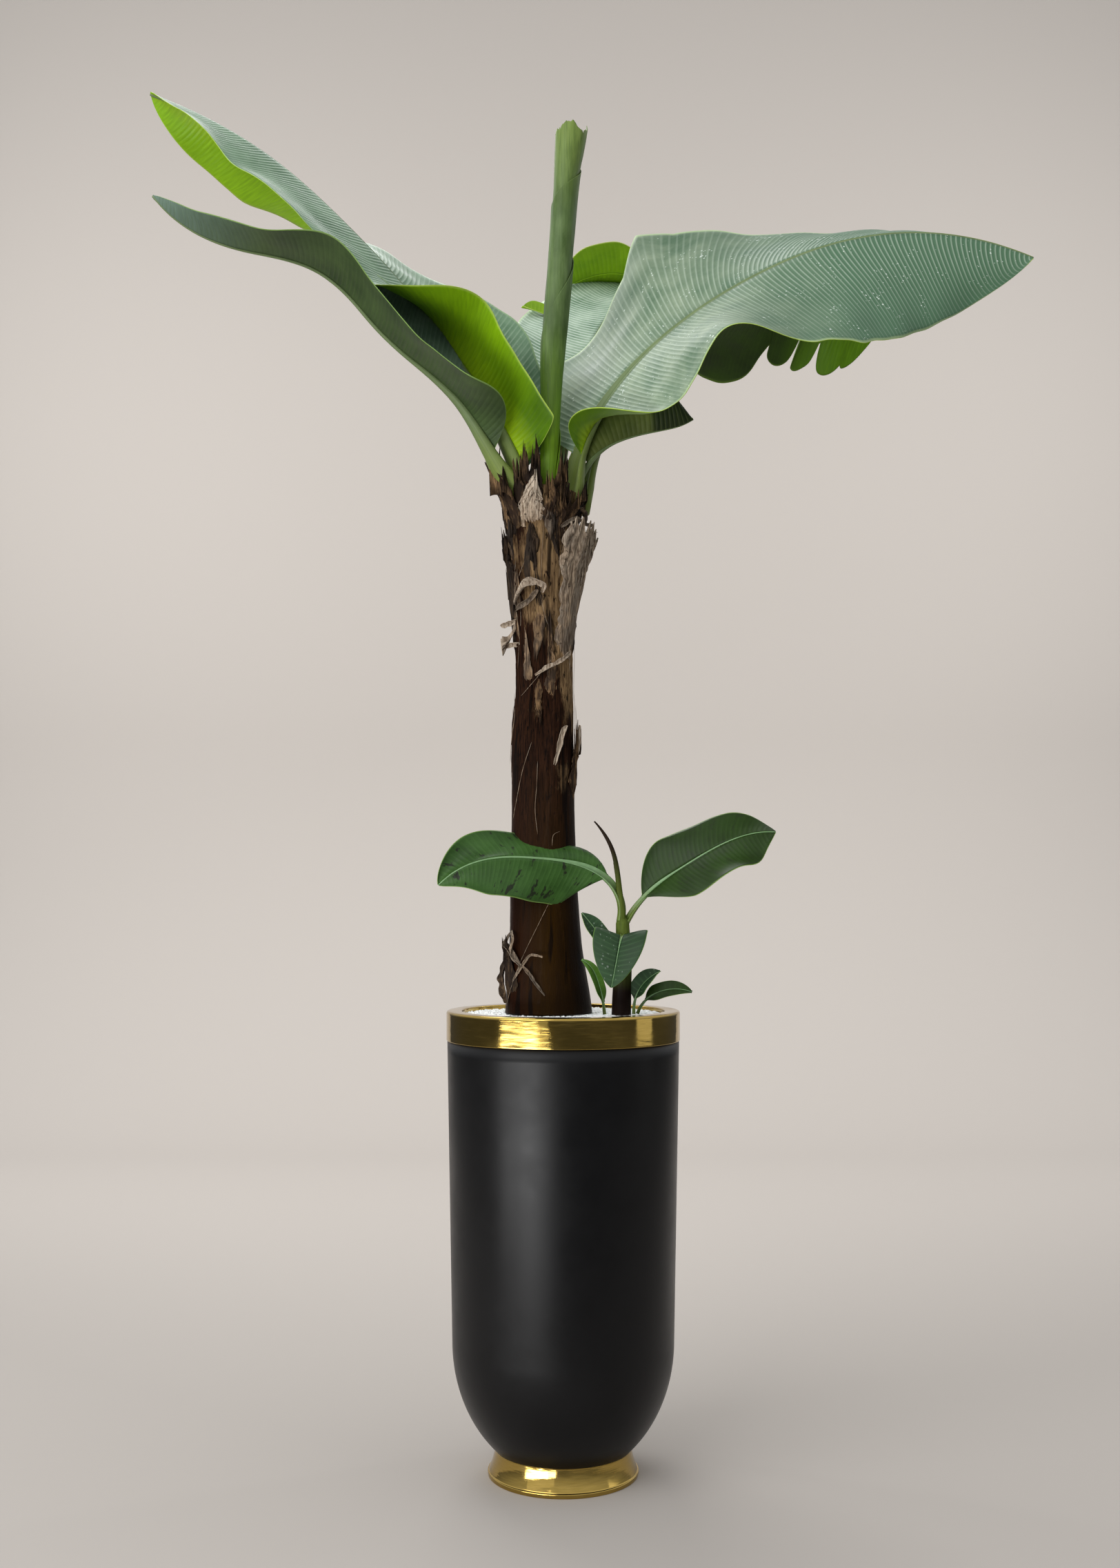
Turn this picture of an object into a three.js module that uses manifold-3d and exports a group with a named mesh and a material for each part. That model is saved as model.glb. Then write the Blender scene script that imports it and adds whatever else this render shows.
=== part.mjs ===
// Banana plant in a metal pot: one false stem with its crown of leaves, and one young shoot beside it.
// Millimetres, +Z up, the origin at the centre of the pot's underside, +Y to the back of the plant.
import * as THREE from 'three';
import Module from 'manifold-3d';

const wasm = await Module();
wasm.setup();
const { Manifold, Mesh } = wasm;

// ---- driving sizes ----
const GAP = 0.35;               // clearance between neighbouring solids
const EASE = 1;                 // a leaf's facets are merged where that moves it less than this
const EASE_SHOOT = 0.4;         // the same on the young shoot

const RIM_R = 180;              // polished rim band, outside radius
const RIM_INNER_R = 156;        // mouth of the pot
const RIM_Z = 668;              // underside of the band
const POT_TOP = 713.5;          // top of the rim
const WALL = 4;                 // sheet wall of the pot
const BODY_TOP_R = 178.6;       // black body just under the band
const BODY_LOW_R = 171;         // where the side turns into the rounded bottom
const BODY_LOW_Z = 205;
const BOWL_H = 208;             // height of the rounded bottom's half ellipse
const BOWL_CUT_Z = 20;          // flat bottom of the bowl, inside the foot
const FOOT_R = 116.5;           // foot ring at the floor
const FOOT_LIP = 9;             // straight lip of the foot
const FOOT_TOP_R = 105;         // foot ring where the bowl leaves it
const FOOT_TOP_Z = 41;
const FILL_TOP = 709;           // white gravel level

const TRUNK_FOOT_Z = FILL_TOP + GAP;
const TRUNK_TOP_Z = 1530;
// half width and centre of the false stem, evenly spaced from the gravel to the top
const TRUNK_R = [69, 58, 53, 50, 49, 46, 47, 52, 60];
const TRUNK_X = [-25, -29, -31, -31, -30, -27, -30, -32, -31];
const TRUNK_Y = [4, 3, 2, 2, 2, 3, 4, 5, 6];

const SHEATH_SEAT = 0.6;        // a dry sheath's inside above the false stem

const ROUND = 32;               // facets round the pot
const BOWL_STEPS = 6;           // facets up the pot's rounded bottom
const FOOT_STEPS = 4;           // facets up the foot ring's flare and up the cup that holds the bowl
const ROUND_TRUNK = 28;         // facets round the false stem

const RAD = Math.PI / 180;

// ---- helpers ----
const clamp = (v, a, b) => Math.min(b, Math.max(a, v));
const smooth = (t) => { const c = clamp(t, 0, 1); return c * c * (3 - 2 * c); };

// smooth value at t (0 to 1) through evenly spaced values
function along(keys, t) {
  if (keys.length === 1) return keys[0];
  const n = keys.length - 1;
  const x = clamp(t, 0, 1) * n;
  const i = Math.min(Math.floor(x), n - 1);
  const f = x - i;
  const p1 = keys[i], p2 = keys[i + 1];
  const p0 = keys[Math.max(i - 1, 0)], p3 = keys[Math.min(i + 2, n)];
  return 0.5 * (2 * p1 + (p2 - p0) * f + (2 * p0 - 5 * p1 + 4 * p2 - p3) * f * f
    + (3 * p1 - p0 - 3 * p2 + p3) * f * f * f);
}

// closed solid skinned over rings of equal point count, each ring running counter-clockwise
// when seen from the far end of the path
function skin(rings) {
  const n = rings[0].length;
  const pos = [];
  rings.forEach((ring) => ring.forEach((p) => pos.push(p.x, p.y, p.z)));
  const tri = [];
  for (let i = 0; i + 1 < rings.length; i++) {
    for (let j = 0; j < n; j++) {
      const a = i * n + j, b = i * n + (j + 1) % n;
      tri.push(a, b, b + n, a, b + n, a + n);
    }
  }
  const end = (ring, flip) => {
    const c = new THREE.Vector3();
    rings[ring].forEach((p) => c.addScaledVector(p, 1 / n));
    const k = pos.length / 3;
    pos.push(c.x, c.y, c.z);
    for (let j = 0; j < n; j++) {
      const a = ring * n + j, b = ring * n + (j + 1) % n;
      if (flip) tri.push(k, b, a); else tri.push(k, a, b);
    }
  };
  end(0, true);
  end(rings.length - 1, false);
  return new Manifold(new Mesh({
    numProp: 3, vertProperties: new Float32Array(pos), triVerts: new Uint32Array(tri),
  }));
}

// solid of revolution about Z from [radius, height] pairs that start and end on the axis or on one point
function turned(profile) {
  const points = profile.map(([r, z]) => new THREE.Vector2(r, z));
  return new THREE.LatheGeometry(points, ROUND).rotateX(Math.PI / 2);
}

function geometryOf(solid) {
  const m = solid.getMesh();
  const g = new THREE.BufferGeometry();
  g.setAttribute('position', new THREE.BufferAttribute(new Float32Array(m.vertProperties), 3));
  g.setIndex(new THREE.BufferAttribute(new Uint32Array(m.triVerts), 1));
  g.computeVertexNormals();
  return g;
}

function mesh(name, geometry, colour, roughness, metalness = 0) {
  const made = new THREE.Mesh(geometry, new THREE.MeshStandardMaterial({ color: colour, roughness, metalness }));
  made.name = name;
  return made;
}

// ---- pot ----
const bowlR = (z, grow = 0) => (BODY_LOW_R + grow)
  * Math.sqrt(Math.max(0, 1 - ((BODY_LOW_Z - z) / (BOWL_H + grow)) ** 2));

// outline of the pot's side from the flat bottom up to height top, offset outwards by grow
function potSide(grow, bottom, top) {
  const side = [];
  const start = Math.asin(clamp((BODY_LOW_Z - bottom) / (BOWL_H + grow), 0, 1));
  for (let k = 0; k <= BOWL_STEPS; k++) {
    const a = start * (1 - k / BOWL_STEPS);
    side.push([(BODY_LOW_R + grow) * Math.cos(a), BODY_LOW_Z - (BOWL_H + grow) * Math.sin(a)]);
  }
  side.push([BODY_TOP_R + grow, top]);
  return side;
}

function potBody() {
  const outer = potSide(0, BOWL_CUT_Z, RIM_Z - GAP);
  const inner = potSide(-WALL, BOWL_CUT_Z + WALL, RIM_Z - GAP);
  return turned([[0, BOWL_CUT_Z], ...outer, ...inner.reverse(), [0, BOWL_CUT_Z + WALL]]);
}

function potBand() {
  const e = 4;                  // rounding of the outer top edge
  return turned([
    [RIM_INNER_R, RIM_Z], [RIM_R, RIM_Z], [RIM_R, POT_TOP - e],
    [RIM_R - e * 0.3, POT_TOP - e * 0.3], [RIM_R - e, POT_TOP],
    [RIM_INNER_R + 2, POT_TOP], [RIM_INNER_R, POT_TOP - 2], [RIM_INNER_R, RIM_Z],
  ]);
}

function potFoot() {
  const flare = [];
  for (let k = 0; k <= FOOT_STEPS; k++) {
    const t = k / FOOT_STEPS;
    const hollow = 3.5 * Math.sin(Math.PI * t);
    flare.push([FOOT_R + (FOOT_TOP_R - FOOT_R) * t - hollow,
      FOOT_LIP + 2 + (FOOT_TOP_Z - FOOT_LIP - 2) * t]);
  }
  const cup = [];
  for (let k = FOOT_STEPS; k >= 0; k--) {
    const z = BOWL_CUT_Z + (FOOT_TOP_Z - BOWL_CUT_Z) * (k / FOOT_STEPS);
    cup.push([bowlR(z) + GAP * 1.6, z - GAP]);
  }
  return turned([[0, 0], [FOOT_R, 0], [FOOT_R, FOOT_LIP], ...flare, ...cup, [0, BOWL_CUT_Z - GAP]]);
}

function gravelFill() {
  const side = potSide(-WALL - GAP, BOWL_CUT_Z + WALL + GAP, RIM_Z - 2 * GAP);
  return turned([[0, BOWL_CUT_Z + WALL + GAP], ...side,
    [RIM_INNER_R - GAP, RIM_Z - 2 * GAP], [RIM_INNER_R - GAP, FILL_TOP], [0, FILL_TOP]]);
}

// ---- false stem ----
// point on the stem's surface at height share t and angle a (degrees, 0 to the right, 90 to the back)
function stemPoint(t, a, out = 0) {
  const r = along(TRUNK_R, t);
  // overlapping sheath edges make the section slightly lobed and slowly turning
  const lobed = r + 1.6 * Math.cos(3 * a * RAD + 4 * t) + 0.9 * Math.cos(5 * a * RAD - 3 * t) - 1.5 + out;
  return new THREE.Vector3(
    along(TRUNK_X, t) + lobed * Math.cos(a * RAD),
    along(TRUNK_Y, t) + lobed * Math.sin(a * RAD),
    TRUNK_FOOT_Z + (TRUNK_TOP_Z - TRUNK_FOOT_Z) * t,
  );
}

function stem(grow = 0) {
  const rings = [];
  const rows = 12;
  for (let i = 0; i <= rows; i++) {
    const ring = [];
    for (let j = 0; j < ROUND_TRUNK; j++) ring.push(stemPoint(i / rows, (j * 360) / ROUND_TRUNK, grow));
    if (grow && i === 0) ring.forEach((p) => { p.z -= grow; });
    if (grow && i === rows) ring.forEach((p) => { p.z += grow; });
    rings.push(ring);
  }
  return skin(rings);
}

// dry sheath: a curved strip lying on the stem, its free end standing off
// angle and width in degrees, from height share low to high, lift = stand-off of the free end,
// point = share of the width left at the free end, free = +1 when the free end is the top
function sheath(s) {
  const rings = [];
  const rows = 5, cols = 4;
  for (let i = 0; i <= rows; i++) {
    const k = i / rows;
    const t = s.low + (s.high - s.low) * k;
    const toFree = s.free > 0 ? k : 1 - k;
    const share = 1 - (1 - s.point) * toFree ** 1.4;
    const off = s.lift * toFree ** 2;
    const mid = s.angle + (s.slant ?? 0) * toFree;
    const outer = [], inner = [];
    for (let j = 0; j <= cols; j++) {
      const a = mid + (j / cols - 0.5) * s.width * share;
      const lip = (s.curl ?? 0) * toFree * Math.abs(j / cols - 0.5) ** 2 * 4;
      const tt = clamp(t, 0, 1.2);
      outer.push(stemPoint(tt, a, SHEATH_SEAT + s.thick + off + lip));
      inner.push(stemPoint(tt, a, SHEATH_SEAT + off + lip));
    }
    rings.push([...outer, ...inner.reverse()]);
  }
  return skin(rings);
}

// ---- leaves ----
// A leaf grows along its midrib: azimuth (0 right, 90 back) and lift above level are read at evenly
// spaced shares of the length. Each half of the blade leaves the midrib at its fold angle, up from
// the blade's own plane, and goes on bending by its curl. left is the half on the left of a walker
// going out along the midrib. roll turns both halves about the midrib.
function growLeaf(L) {
  const steps = 120;
  const path = [];
  const p = new THREE.Vector3(...L.root);
  const dirAt = (s) => {
    const az = along(L.azimuth, s) * RAD, el = along(L.lift, s) * RAD;
    return { az, t: new THREE.Vector3(Math.cos(el) * Math.cos(az), Math.cos(el) * Math.sin(az), Math.sin(el)) };
  };
  for (let i = 0; i <= steps; i++) {
    const s = i / steps;
    const { az, t } = dirAt(s);
    if (i > 0) {
      const before = dirAt((i - 1) / steps).t;
      p.addScaledVector(before.add(t), (L.length / steps) / 2);
    }
    const b0 = new THREE.Vector3(-Math.sin(az), Math.cos(az), 0);
    const n0 = new THREE.Vector3().crossVectors(t, b0);
    const turn = along(L.roll ?? [0], s) * RAD;
    path.push({
      s, p: p.clone(), t,
      b: b0.clone().multiplyScalar(Math.cos(turn)).addScaledVector(n0, Math.sin(turn)),
      n: n0.clone().multiplyScalar(Math.cos(turn)).addScaledVector(b0, -Math.sin(turn)),
    });
  }
  return path;
}

function blade(L, side) {
  const h = side > 0 ? L.left : L.right;
  const rise = L.rise ?? 0.25, fall = L.fall ?? 0.5;
  return (u) => {
    let w = L.half * Math.sin((Math.PI / 2) * clamp(u / rise, 0, 1)) ** 0.8
      * Math.sin((Math.PI / 2) * clamp((1 - u) / fall, 0, 1)) ** 0.7 * along(h.width ?? [1], u);
    (h.tears ?? []).forEach(([at, depth, reach]) => {
      w *= 1 - depth * clamp(1 - Math.abs(u - at) / reach, 0, 1);
    });
    const [extra, reach] = h.base ?? [0, 1];
    return { w, fold: along(h.fold, u) + extra * Math.exp(-((u / reach) ** 2)), curl: along(h.curl ?? [0], u) };
  };
}

// shares of the length at which rings are set: even, with more at each tear
function stations(L, side) {
  const at = new Set();
  for (let i = 0; i <= L.rings; i++) at.add(Math.round((i / L.rings) * 120));
  const h = side > 0 ? L.left : L.right;
  (h?.tears ?? []).forEach(([u, , reach]) => {
    [-reach, 0, reach].forEach((d) => {
      const s = L.stalk + (1 - L.stalk) * clamp(u + d, 0, 1);
      at.add(Math.round(s * 120));
    });
  });
  return [...at].sort((a, b) => a - b);
}

function halfBlade(L, path, side, grow) {
  const shape = blade(L, side);
  const across = L.across;
  const rings = [];
  const first = Math.ceil(L.stalk * 120);
  const list = stations(L, side).filter((k) => k > first);
  list.unshift(first);
  list.forEach((k) => {
    const f = path[k];
    const u = clamp((f.s - L.stalk) / (1 - L.stalk), 0, 1);
    const { w, fold, curl } = shape(u);
    const reach = Math.max(w, L.thick / 2) + grow;
    const half = L.thick / 2 + grow;
    const q = f.p.clone();
    const top = [], under = [];
    const sweep = (L.sweep ?? 0.15) * (1 - u * u) * reach;
    let a0 = fold * RAD;
    q.addScaledVector(f.b, -side * 2 * Math.cos(a0)).addScaledVector(f.n, -2 * Math.sin(a0));
    for (let j = 0; j <= across; j++) {
      const r = j / across;
      const a = (fold + curl * r) * RAD;
      if (j > 0) {
        const m = (a + a0) / 2;
        const step = reach / across;
        q.addScaledVector(f.b, side * Math.cos(m) * step).addScaledVector(f.n, Math.sin(m) * step);
      }
      a0 = a;
      const out = q.clone().addScaledVector(f.t, sweep * r ** 1.5);
      const normal = f.n.clone().multiplyScalar(Math.cos(a)).addScaledVector(f.b, -side * Math.sin(a));
      top.push(out.clone().addScaledVector(normal, half));
      under.push(out.clone().addScaledVector(normal, -half));
    }
    rings.push([...top, ...under.reverse()]);
  });
  if (grow) {
    rings.unshift(rings[0].map((v) => v.clone().addScaledVector(path[first].t, -grow)));
    rings.push(rings.at(-1).map((v) => v.clone().addScaledVector(path.at(-1).t, grow)));
  }
  return skin(side > 0 ? rings.map((r) => [...r].reverse()) : rings);
}

// stalk and midrib: one tapering limb, wider than deep, that the halves of the blade leave
function midrib(L, path, grow) {
  const rings = [];
  const facets = L.ribFacets ?? 8;
  stations({ ...L, left: {} }, 1).forEach((k) => {
    const f = path[k];
    const stalkShare = clamp(f.s / L.stalk, 0, 1);
    const u = clamp((f.s - L.stalk) / (1 - L.stalk), 0, 1);
    const taper = (1 - 0.28 * stalkShare) * (1 - 0.55 * smooth(u / 0.35)) * (1 - 0.75 * u);
    const wide = Math.max(L.stalkR * taper, L.thick * 0.45) + grow;
    const deep = wide * (0.8 + 0.15 * u);
    const ring = [];
    for (let j = 0; j < facets; j++) {
      const a = (j * 2 * Math.PI) / facets;
      ring.push(f.p.clone().addScaledVector(f.b, wide * Math.cos(a))
        .addScaledVector(f.n, deep * Math.sin(a) - deep * 0.35));
    }
    rings.push(ring);
  });
  if (grow) {
    rings.unshift(rings[0].map((v) => v.clone().addScaledVector(path[0].t, -grow)));
    rings.push(rings.at(-1).map((v) => v.clone().addScaledVector(path.at(-1).t, grow)));
  }
  return skin(rings);
}

function leaf(L, grow = 0) {
  const path = growLeaf(L);
  const parts = [midrib(L, path, grow)];
  if (L.left) parts.push(halfBlade(L, path, 1, grow));
  if (L.right) parts.push(halfBlade(L, path, -1, grow));
  if (L.lobe) parts.push(leaf(L.lobe, grow));
  return Manifold.union(parts);
}

// still-rolled youngest leaf: a tall narrow roll, widening to a torn top, with the lap of the roll proud
const ROLL = {
  root: [-22, -22, TRUNK_TOP_Z + GAP], height: 545, leanX: [0, 2, 4, 7, 12.5, 18, 23, 28, 35], leanY: [0, 0, 2, 6],
  radius: [15.5, 15.5, 17, 19.5, 20.5, 20, 20, 21, 25], facets: 14, rings: 12,
};
function rolledLeaf(grow = 0) {
  const rings = [];
  for (let i = 0; i <= ROLL.rings; i++) {
    const t = i / ROLL.rings;
    const r = along(ROLL.radius, t) + grow;
    const lap = 60 + 420 * t;           // the edge of the roll winds slowly round
    const ring = [];
    for (let j = 0; j < ROLL.facets; j++) {
      const a = (j * 360) / ROLL.facets;
      const past = (((a - lap) % 360) + 360) % 360;
      const rr = r - 2.2 * (past / 360);
      const torn = i === ROLL.rings ? 9 * Math.sin(a * RAD * 3 + 1) : 0;
      ring.push(new THREE.Vector3(
        ROLL.root[0] + along(ROLL.leanX, t) + rr * Math.cos(a * RAD),
        ROLL.root[1] + along(ROLL.leanY, t) + rr * Math.sin(a * RAD),
        ROLL.root[2] + (ROLL.height - 9) * t + torn + (i === 0 ? -grow : 0),
      ));
    }
    rings.push(ring);
  }
  return skin(rings);
}

const CROWN = {
  leaf_right: {
    root: [8, -10, 1524], length: 850, azimuth: [-8, -11, -12, -10], lift: [78, 56, 41, 29, 19, 4, -12, -26],
    stalk: 0.08, stalkR: 18, half: 180, rise: 0.15, fall: 0.6, sweep: 0.1,
    left: { fold: [65, 43, 61, 40, 28, 20, 12], width: [1.14, 1.12, 1.1, 1.08, 1.05, 1.03],
      curl: [-4, -7, -3, -6, -6, -7] },
    right: { fold: [-45, -45, -31, -54, -66, -85, -108], width: [0.95, 1.07, 1.18, 1.3, 1.43, 1.57],
      base: [100, 0.07] },
  },
  leaf_upper_left: {
    root: [-52, -8, 1526], length: 828, azimuth: [184, 185, 186, 187, 185], lift: [67, 57, 53, 46, 41, 29, 19],
    stalk: 0.06, stalkR: 17, half: 135, rise: 0.15, fall: 0.45,
    left: { fold: [56, 28, -8, -28, -35, -38, -20], width: [0.96, 0.97, 0.99, 1.01, 1.02, 1.04],
      curl: [-12, -4, 3, 10] },
    right: { fold: [172, 102, 45, 21, -8, -35, -71], width: [0.85, 0.89, 0.94, 0.98, 1.02, 1.07],
      curl: [6, 2, 0, -3] },
  },
  leaf_lower_left: {
    root: [-76, -14, 1529], length: 671, azimuth: [202, 205, 200, 194],
    lift: [45, 54, 51, 37, 31, 38, 45, 32, 11, 4, 14, 31, 50], stalk: 0.15, stalkR: 14, half: 90, across: 3,
    left: { fold: [49, -5, -3, -1, 6, 5, 14, 21], width: [1.11, 1.08, 1.05, 1.02, 1, 0.97], curl: [-7, -1, 4] },
    right: { fold: [85, 75, 75, 70, 60, 30], width: [0.7] },
  },
  leaf_back: {
    root: [-18, 36, 1526], length: 760, azimuth: [64, 70, 64, 54, 44], lift: [66, 60, 54, 46, 34, 18, 0],
    stalk: 0.1, stalkR: 16, half: 156, rise: 0.2, sweep: 0.1, across: 3, rings: 13,
    left: { fold: [26, 20, 14, 8, 15, 28], width: [0.95, 0.95, 0.88, 0.88, 0.9, 0.93], curl: [15, 15, 16] },
    right: { fold: [40, 40, 30, 10, 0, -20], width: [0.5] },
    lobe: {
      root: [172, 385, 1972], length: 196, azimuth: [182], lift: [30, 8, -18, -34], stalk: 0.04, stalkR: 5,
      half: 76, rise: 0.4, fall: 0.4, thick: 4, rings: 6, across: 2,
      left: { fold: [22, 18] }, right: { fold: [0, -10], width: [0.5] },
    },
  },
  leaf_back_right: {
    root: [32, 26, 1526], length: 788, azimuth: [25, 34, 32, 26], lift: [79, 49, 41, 37, 20, 2, -12],
    stalk: 0.08, stalkR: 15, half: 125, rise: 0.2, across: 3, rings: 13,
    left: { fold: [85, 67, 33, -3, -35, -80], width: [0.8, 0.99, 1.17, 1.36, 1.55, 1.7], curl: [-120, 6],
      tears: [[0.6, 0.32, 0.035], [0.74, 0.42, 0.04], [0.82, 0.28, 0.03], [0.9, 0.2, 0.03]] },
    right: { fold: [85, 80, 70, 60, 40, 20], width: [0.45] },
  },
  leaf_short_right: {
    root: [27, -6, 1496], length: 236, azimuth: [4], lift: [86, 78, 52, 29, 18, 13, 18, 32],
    stalk: 0.24, stalkR: 10, half: 56, rise: 0.3, fall: 0.25, thick: 4, rings: 9, across: 3,
    left: { fold: [70], width: [0.4] }, right: { fold: [85, 75, 60, 50], curl: [40, 60] },
  },
};

const PUP_X = 88, PUP_Y = -45, PUP_TOP_Z = 856;
const PUP_R = [15, 14.5, 13, 11.5, 10];
const PUP_LEAN = [0, 1, 3, 3, 2];

const SHOOT = {
  shoot_leaf_left: {
    root: [PUP_X + 2, PUP_Y, 850], length: 348, azimuth: [180, 185, 190, 188, 185],
    lift: [100, 65, 32, 12, 5, 1, -10, -27, -45], roll: [-30, -60, -60, -60], stalk: 0.22, stalkR: 9,
    half: 50, rise: 0.2, fall: 0.35, sweep: 0.25, thick: 3.8, rings: 12, across: 3,
    left: { fold: [-31, -30, -28, -25, -24], width: [1.5, 1.35, 1.2, 1.05], curl: [-23, 61] },
    right: { fold: [62, 13, -16, -40, -67], width: [1.11, 1.12, 1.12, 1.13], curl: [-161, 146] },
  },
  shoot_leaf_right: {
    root: [PUP_X + 5, PUP_Y, 850], length: 275, azimuth: [0, -5, -5, 0],
    lift: [61, 50, 40, 33, 32, 29, 22, 11, -3], roll: [30, 60, 60], stalk: 0.17, stalkR: 6.5,
    half: 52, rise: 0.25, fall: 0.4, sweep: 0.3, thick: 3.2, rings: 10, across: 3,
    left: { fold: [31, 14, 0, -15, -25], width: [1.15, 1.07, 0.98, 0.9], curl: [9, -9] },
    right: { fold: [20, 7, -3, -15, -30], width: [1.1, 1.09, 1.08, 1.07], curl: [-27, 58] },
  },
  shoot_leaf_front: {
    root: [PUP_X + 2, PUP_Y - 6, 834], length: 100, azimuth: [262, 240, 220], lift: [-10, -60, -72, -74],
    stalk: 0.12, stalkR: 4, half: 42, rise: 0.14, fall: 0.75, sweep: -0.35, thick: 2.4, rings: 8, across: 2,
    left: { fold: [22, 8, -6], curl: [-20, -30] }, right: { fold: [28, 34, 40], curl: [-20, 10] },
  },
  shoot_leaf_behind: {
    root: [PUP_X - 2, PUP_Y + 3, 776], length: 106, azimuth: [176], lift: [75, 56, 52, 50], roll: [-60],
    stalk: 0.4, stalkR: 3, half: 13, fall: 0.5, thick: 2.4, rings: 5, across: 1, ribFacets: 5,
    left: { fold: [10] }, right: { fold: [10] },
  },
  shoot_leaf_narrow: {
    root: [63, -46, FILL_TOP + GAP + 0.4], length: 94, azimuth: [180], lift: [85, 76, 66, 30], roll: [-60],
    stalk: 0.2, stalkR: 3, half: 9, fall: 0.5, thick: 2.4, rings: 5, across: 1, ribFacets: 5,
    left: { fold: [10] }, right: { fold: [10] },
  },
  shoot_leaf_low: {
    root: [106, -54, FILL_TOP + GAP + 1.5], length: 82, azimuth: [0], lift: [92, 70, 45, 25], roll: [50],
    stalk: 0.28, stalkR: 3, half: 16, fall: 0.5, thick: 2.4, rings: 5, across: 1, ribFacets: 5,
    left: { fold: [20] }, right: { fold: [20] },
  },
  shoot_leaf_tip: {
    root: [112, -44, FILL_TOP + GAP + 1.5], length: 100, azimuth: [0], lift: [70, 34, 6, -18], roll: [50],
    stalk: 0.25, stalkR: 3, half: 14, fall: 0.5, thick: 2.4, rings: 5, across: 1, ribFacets: 5,
    left: { fold: [20] }, right: { fold: [20] },
  },
  shoot_spear: {
    root: [PUP_X + 1, PUP_Y - 1, 850], length: 162, azimuth: [180], lift: [90, 83, 84, 76, 60, 48],
    stalk: 0.02, stalkR: 6.5, thick: 2.4, rings: 12, ribFacets: 6,
  },
};

// dry remains of old leaf sheaths on the false stem (see sheath() for the fields)
const SHEATHS = {
  sheath_right_stub: { angle: 335, width: 62, low: 0.785, high: 0.915, lift: 30, point: 0.9, free: 1, thick: 3.5 },
  sheath_left_flap: { angle: 190, width: 44, low: 0.8, high: 0.9, lift: 7, point: 0.5, free: 1, thick: 3 },
  sheath_front_pale: { angle: 252, width: 62, low: 0.85, high: 1.02, lift: 4, point: 0.2, free: 1, thick: 3, curl: 2 },
  sheath_front_brown: { angle: 300, width: 50, low: 0.9, high: 1.01, lift: 5, point: 0.45, free: 1, thick: 3 },
  sheath_left_shred: { angle: 196, width: 16, low: 0.67, high: 0.745, lift: 24, point: 0.4, free: -1, thick: 3 },
  sheath_right_shard: { angle: 345, width: 46, low: 0.42, high: 0.54, lift: 9, point: 0.8, free: 1, thick: 3 },
  sheath_base_curl: { angle: 205, width: 42, low: 0.05, high: 0.15, lift: 9, point: 0.5, free: 1, thick: 3, curl: 3 },
  sheath_back_left: { angle: 130, width: 60, low: 0.84, high: 1.01, lift: 8, point: 0.4, free: 1, thick: 3 },
  sheath_back_right: { angle: 55, width: 58, low: 0.76, high: 0.9, lift: 20, point: 0.7, free: 1, thick: 3.5 },
};

function shootStem(grow = 0) {
  const rings = [];
  const foot = FILL_TOP + GAP;
  for (let i = 0; i <= 8; i++) {
    const t = i / 8;
    const r = along(PUP_R, t) + grow;
    const ring = [];
    for (let j = 0; j < 14; j++) {
      const a = (j / 14) * 2 * Math.PI;
      const rr = r * (1 + 0.04 * Math.cos(2 * a + 2));
      ring.push(new THREE.Vector3(PUP_X + along(PUP_LEAN, t) + rr * Math.cos(a), PUP_Y + rr * Math.sin(a),
        foot + (PUP_TOP_Z - foot) * t + (i === 0 ? -grow : i === 8 ? grow : 0)));
    }
    rings.push(ring);
  }
  return skin(rings);
}

// the largest connected body of a solid, so that a trimmed-off scrap is dropped
const largest = (solid) => solid.decompose().reduce((a, b) => (b.volume() > a.volume() ? b : a));

// the same body with needlessly fine facets merged
const eased = (solid, by) => solid.setTolerance(by).asOriginal();

// ---- assembly ----
const group = new THREE.Group();
group.name = 'banana_plant';

group.add(mesh('pot_foot', potFoot(), 0xb08d3a, 0.2, 1));
group.add(mesh('pot_body', potBody(), 0x1b1b1c, 0.5, 0.2));
group.add(mesh('pot_band', potBand(), 0xb08d3a, 0.2, 1));
group.add(mesh('gravel_fill', gravelFill(), 0xd9dcda, 0.9));
group.add(mesh('false_stem', geometryOf(stem()), 0x4a3420, 0.7));

// every later solid is cut back to stand clear of the ones already placed
const placed = [stem(GAP)];
function place(name, solid, grown, colour, roughness = 0.55) {
  const clear = largest(solid.subtract(Manifold.union(placed)));
  group.add(mesh(name, geometryOf(clear), colour, roughness));
  placed.push(grown);
}

place('rolled_leaf', rolledLeaf(), rolledLeaf(GAP), 0x5b7a45);
for (const [name, given] of Object.entries(CROWN)) {
  const L = { thick: given.length / 98, rings: 16, across: 4, ...given };
  place(name, eased(leaf(L), EASE), leaf(L, GAP + EASE), name.includes('lower') ? 0x3c4f28 : 0x7f9f88);
}
for (const [name, s] of Object.entries(SHEATHS)) {
  place(name, sheath(s), sheath({ ...s, thick: s.thick + GAP }), 0x7a6148, 0.9);
}
place('shoot_stem', shootStem(), shootStem(GAP), 0x33311a);
for (const [name, L] of Object.entries(SHOOT)) {
  place(name, eased(leaf(L), EASE_SHOOT), leaf(L, GAP + EASE_SHOOT), 0x2f5c2c);
}

export default group;
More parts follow.
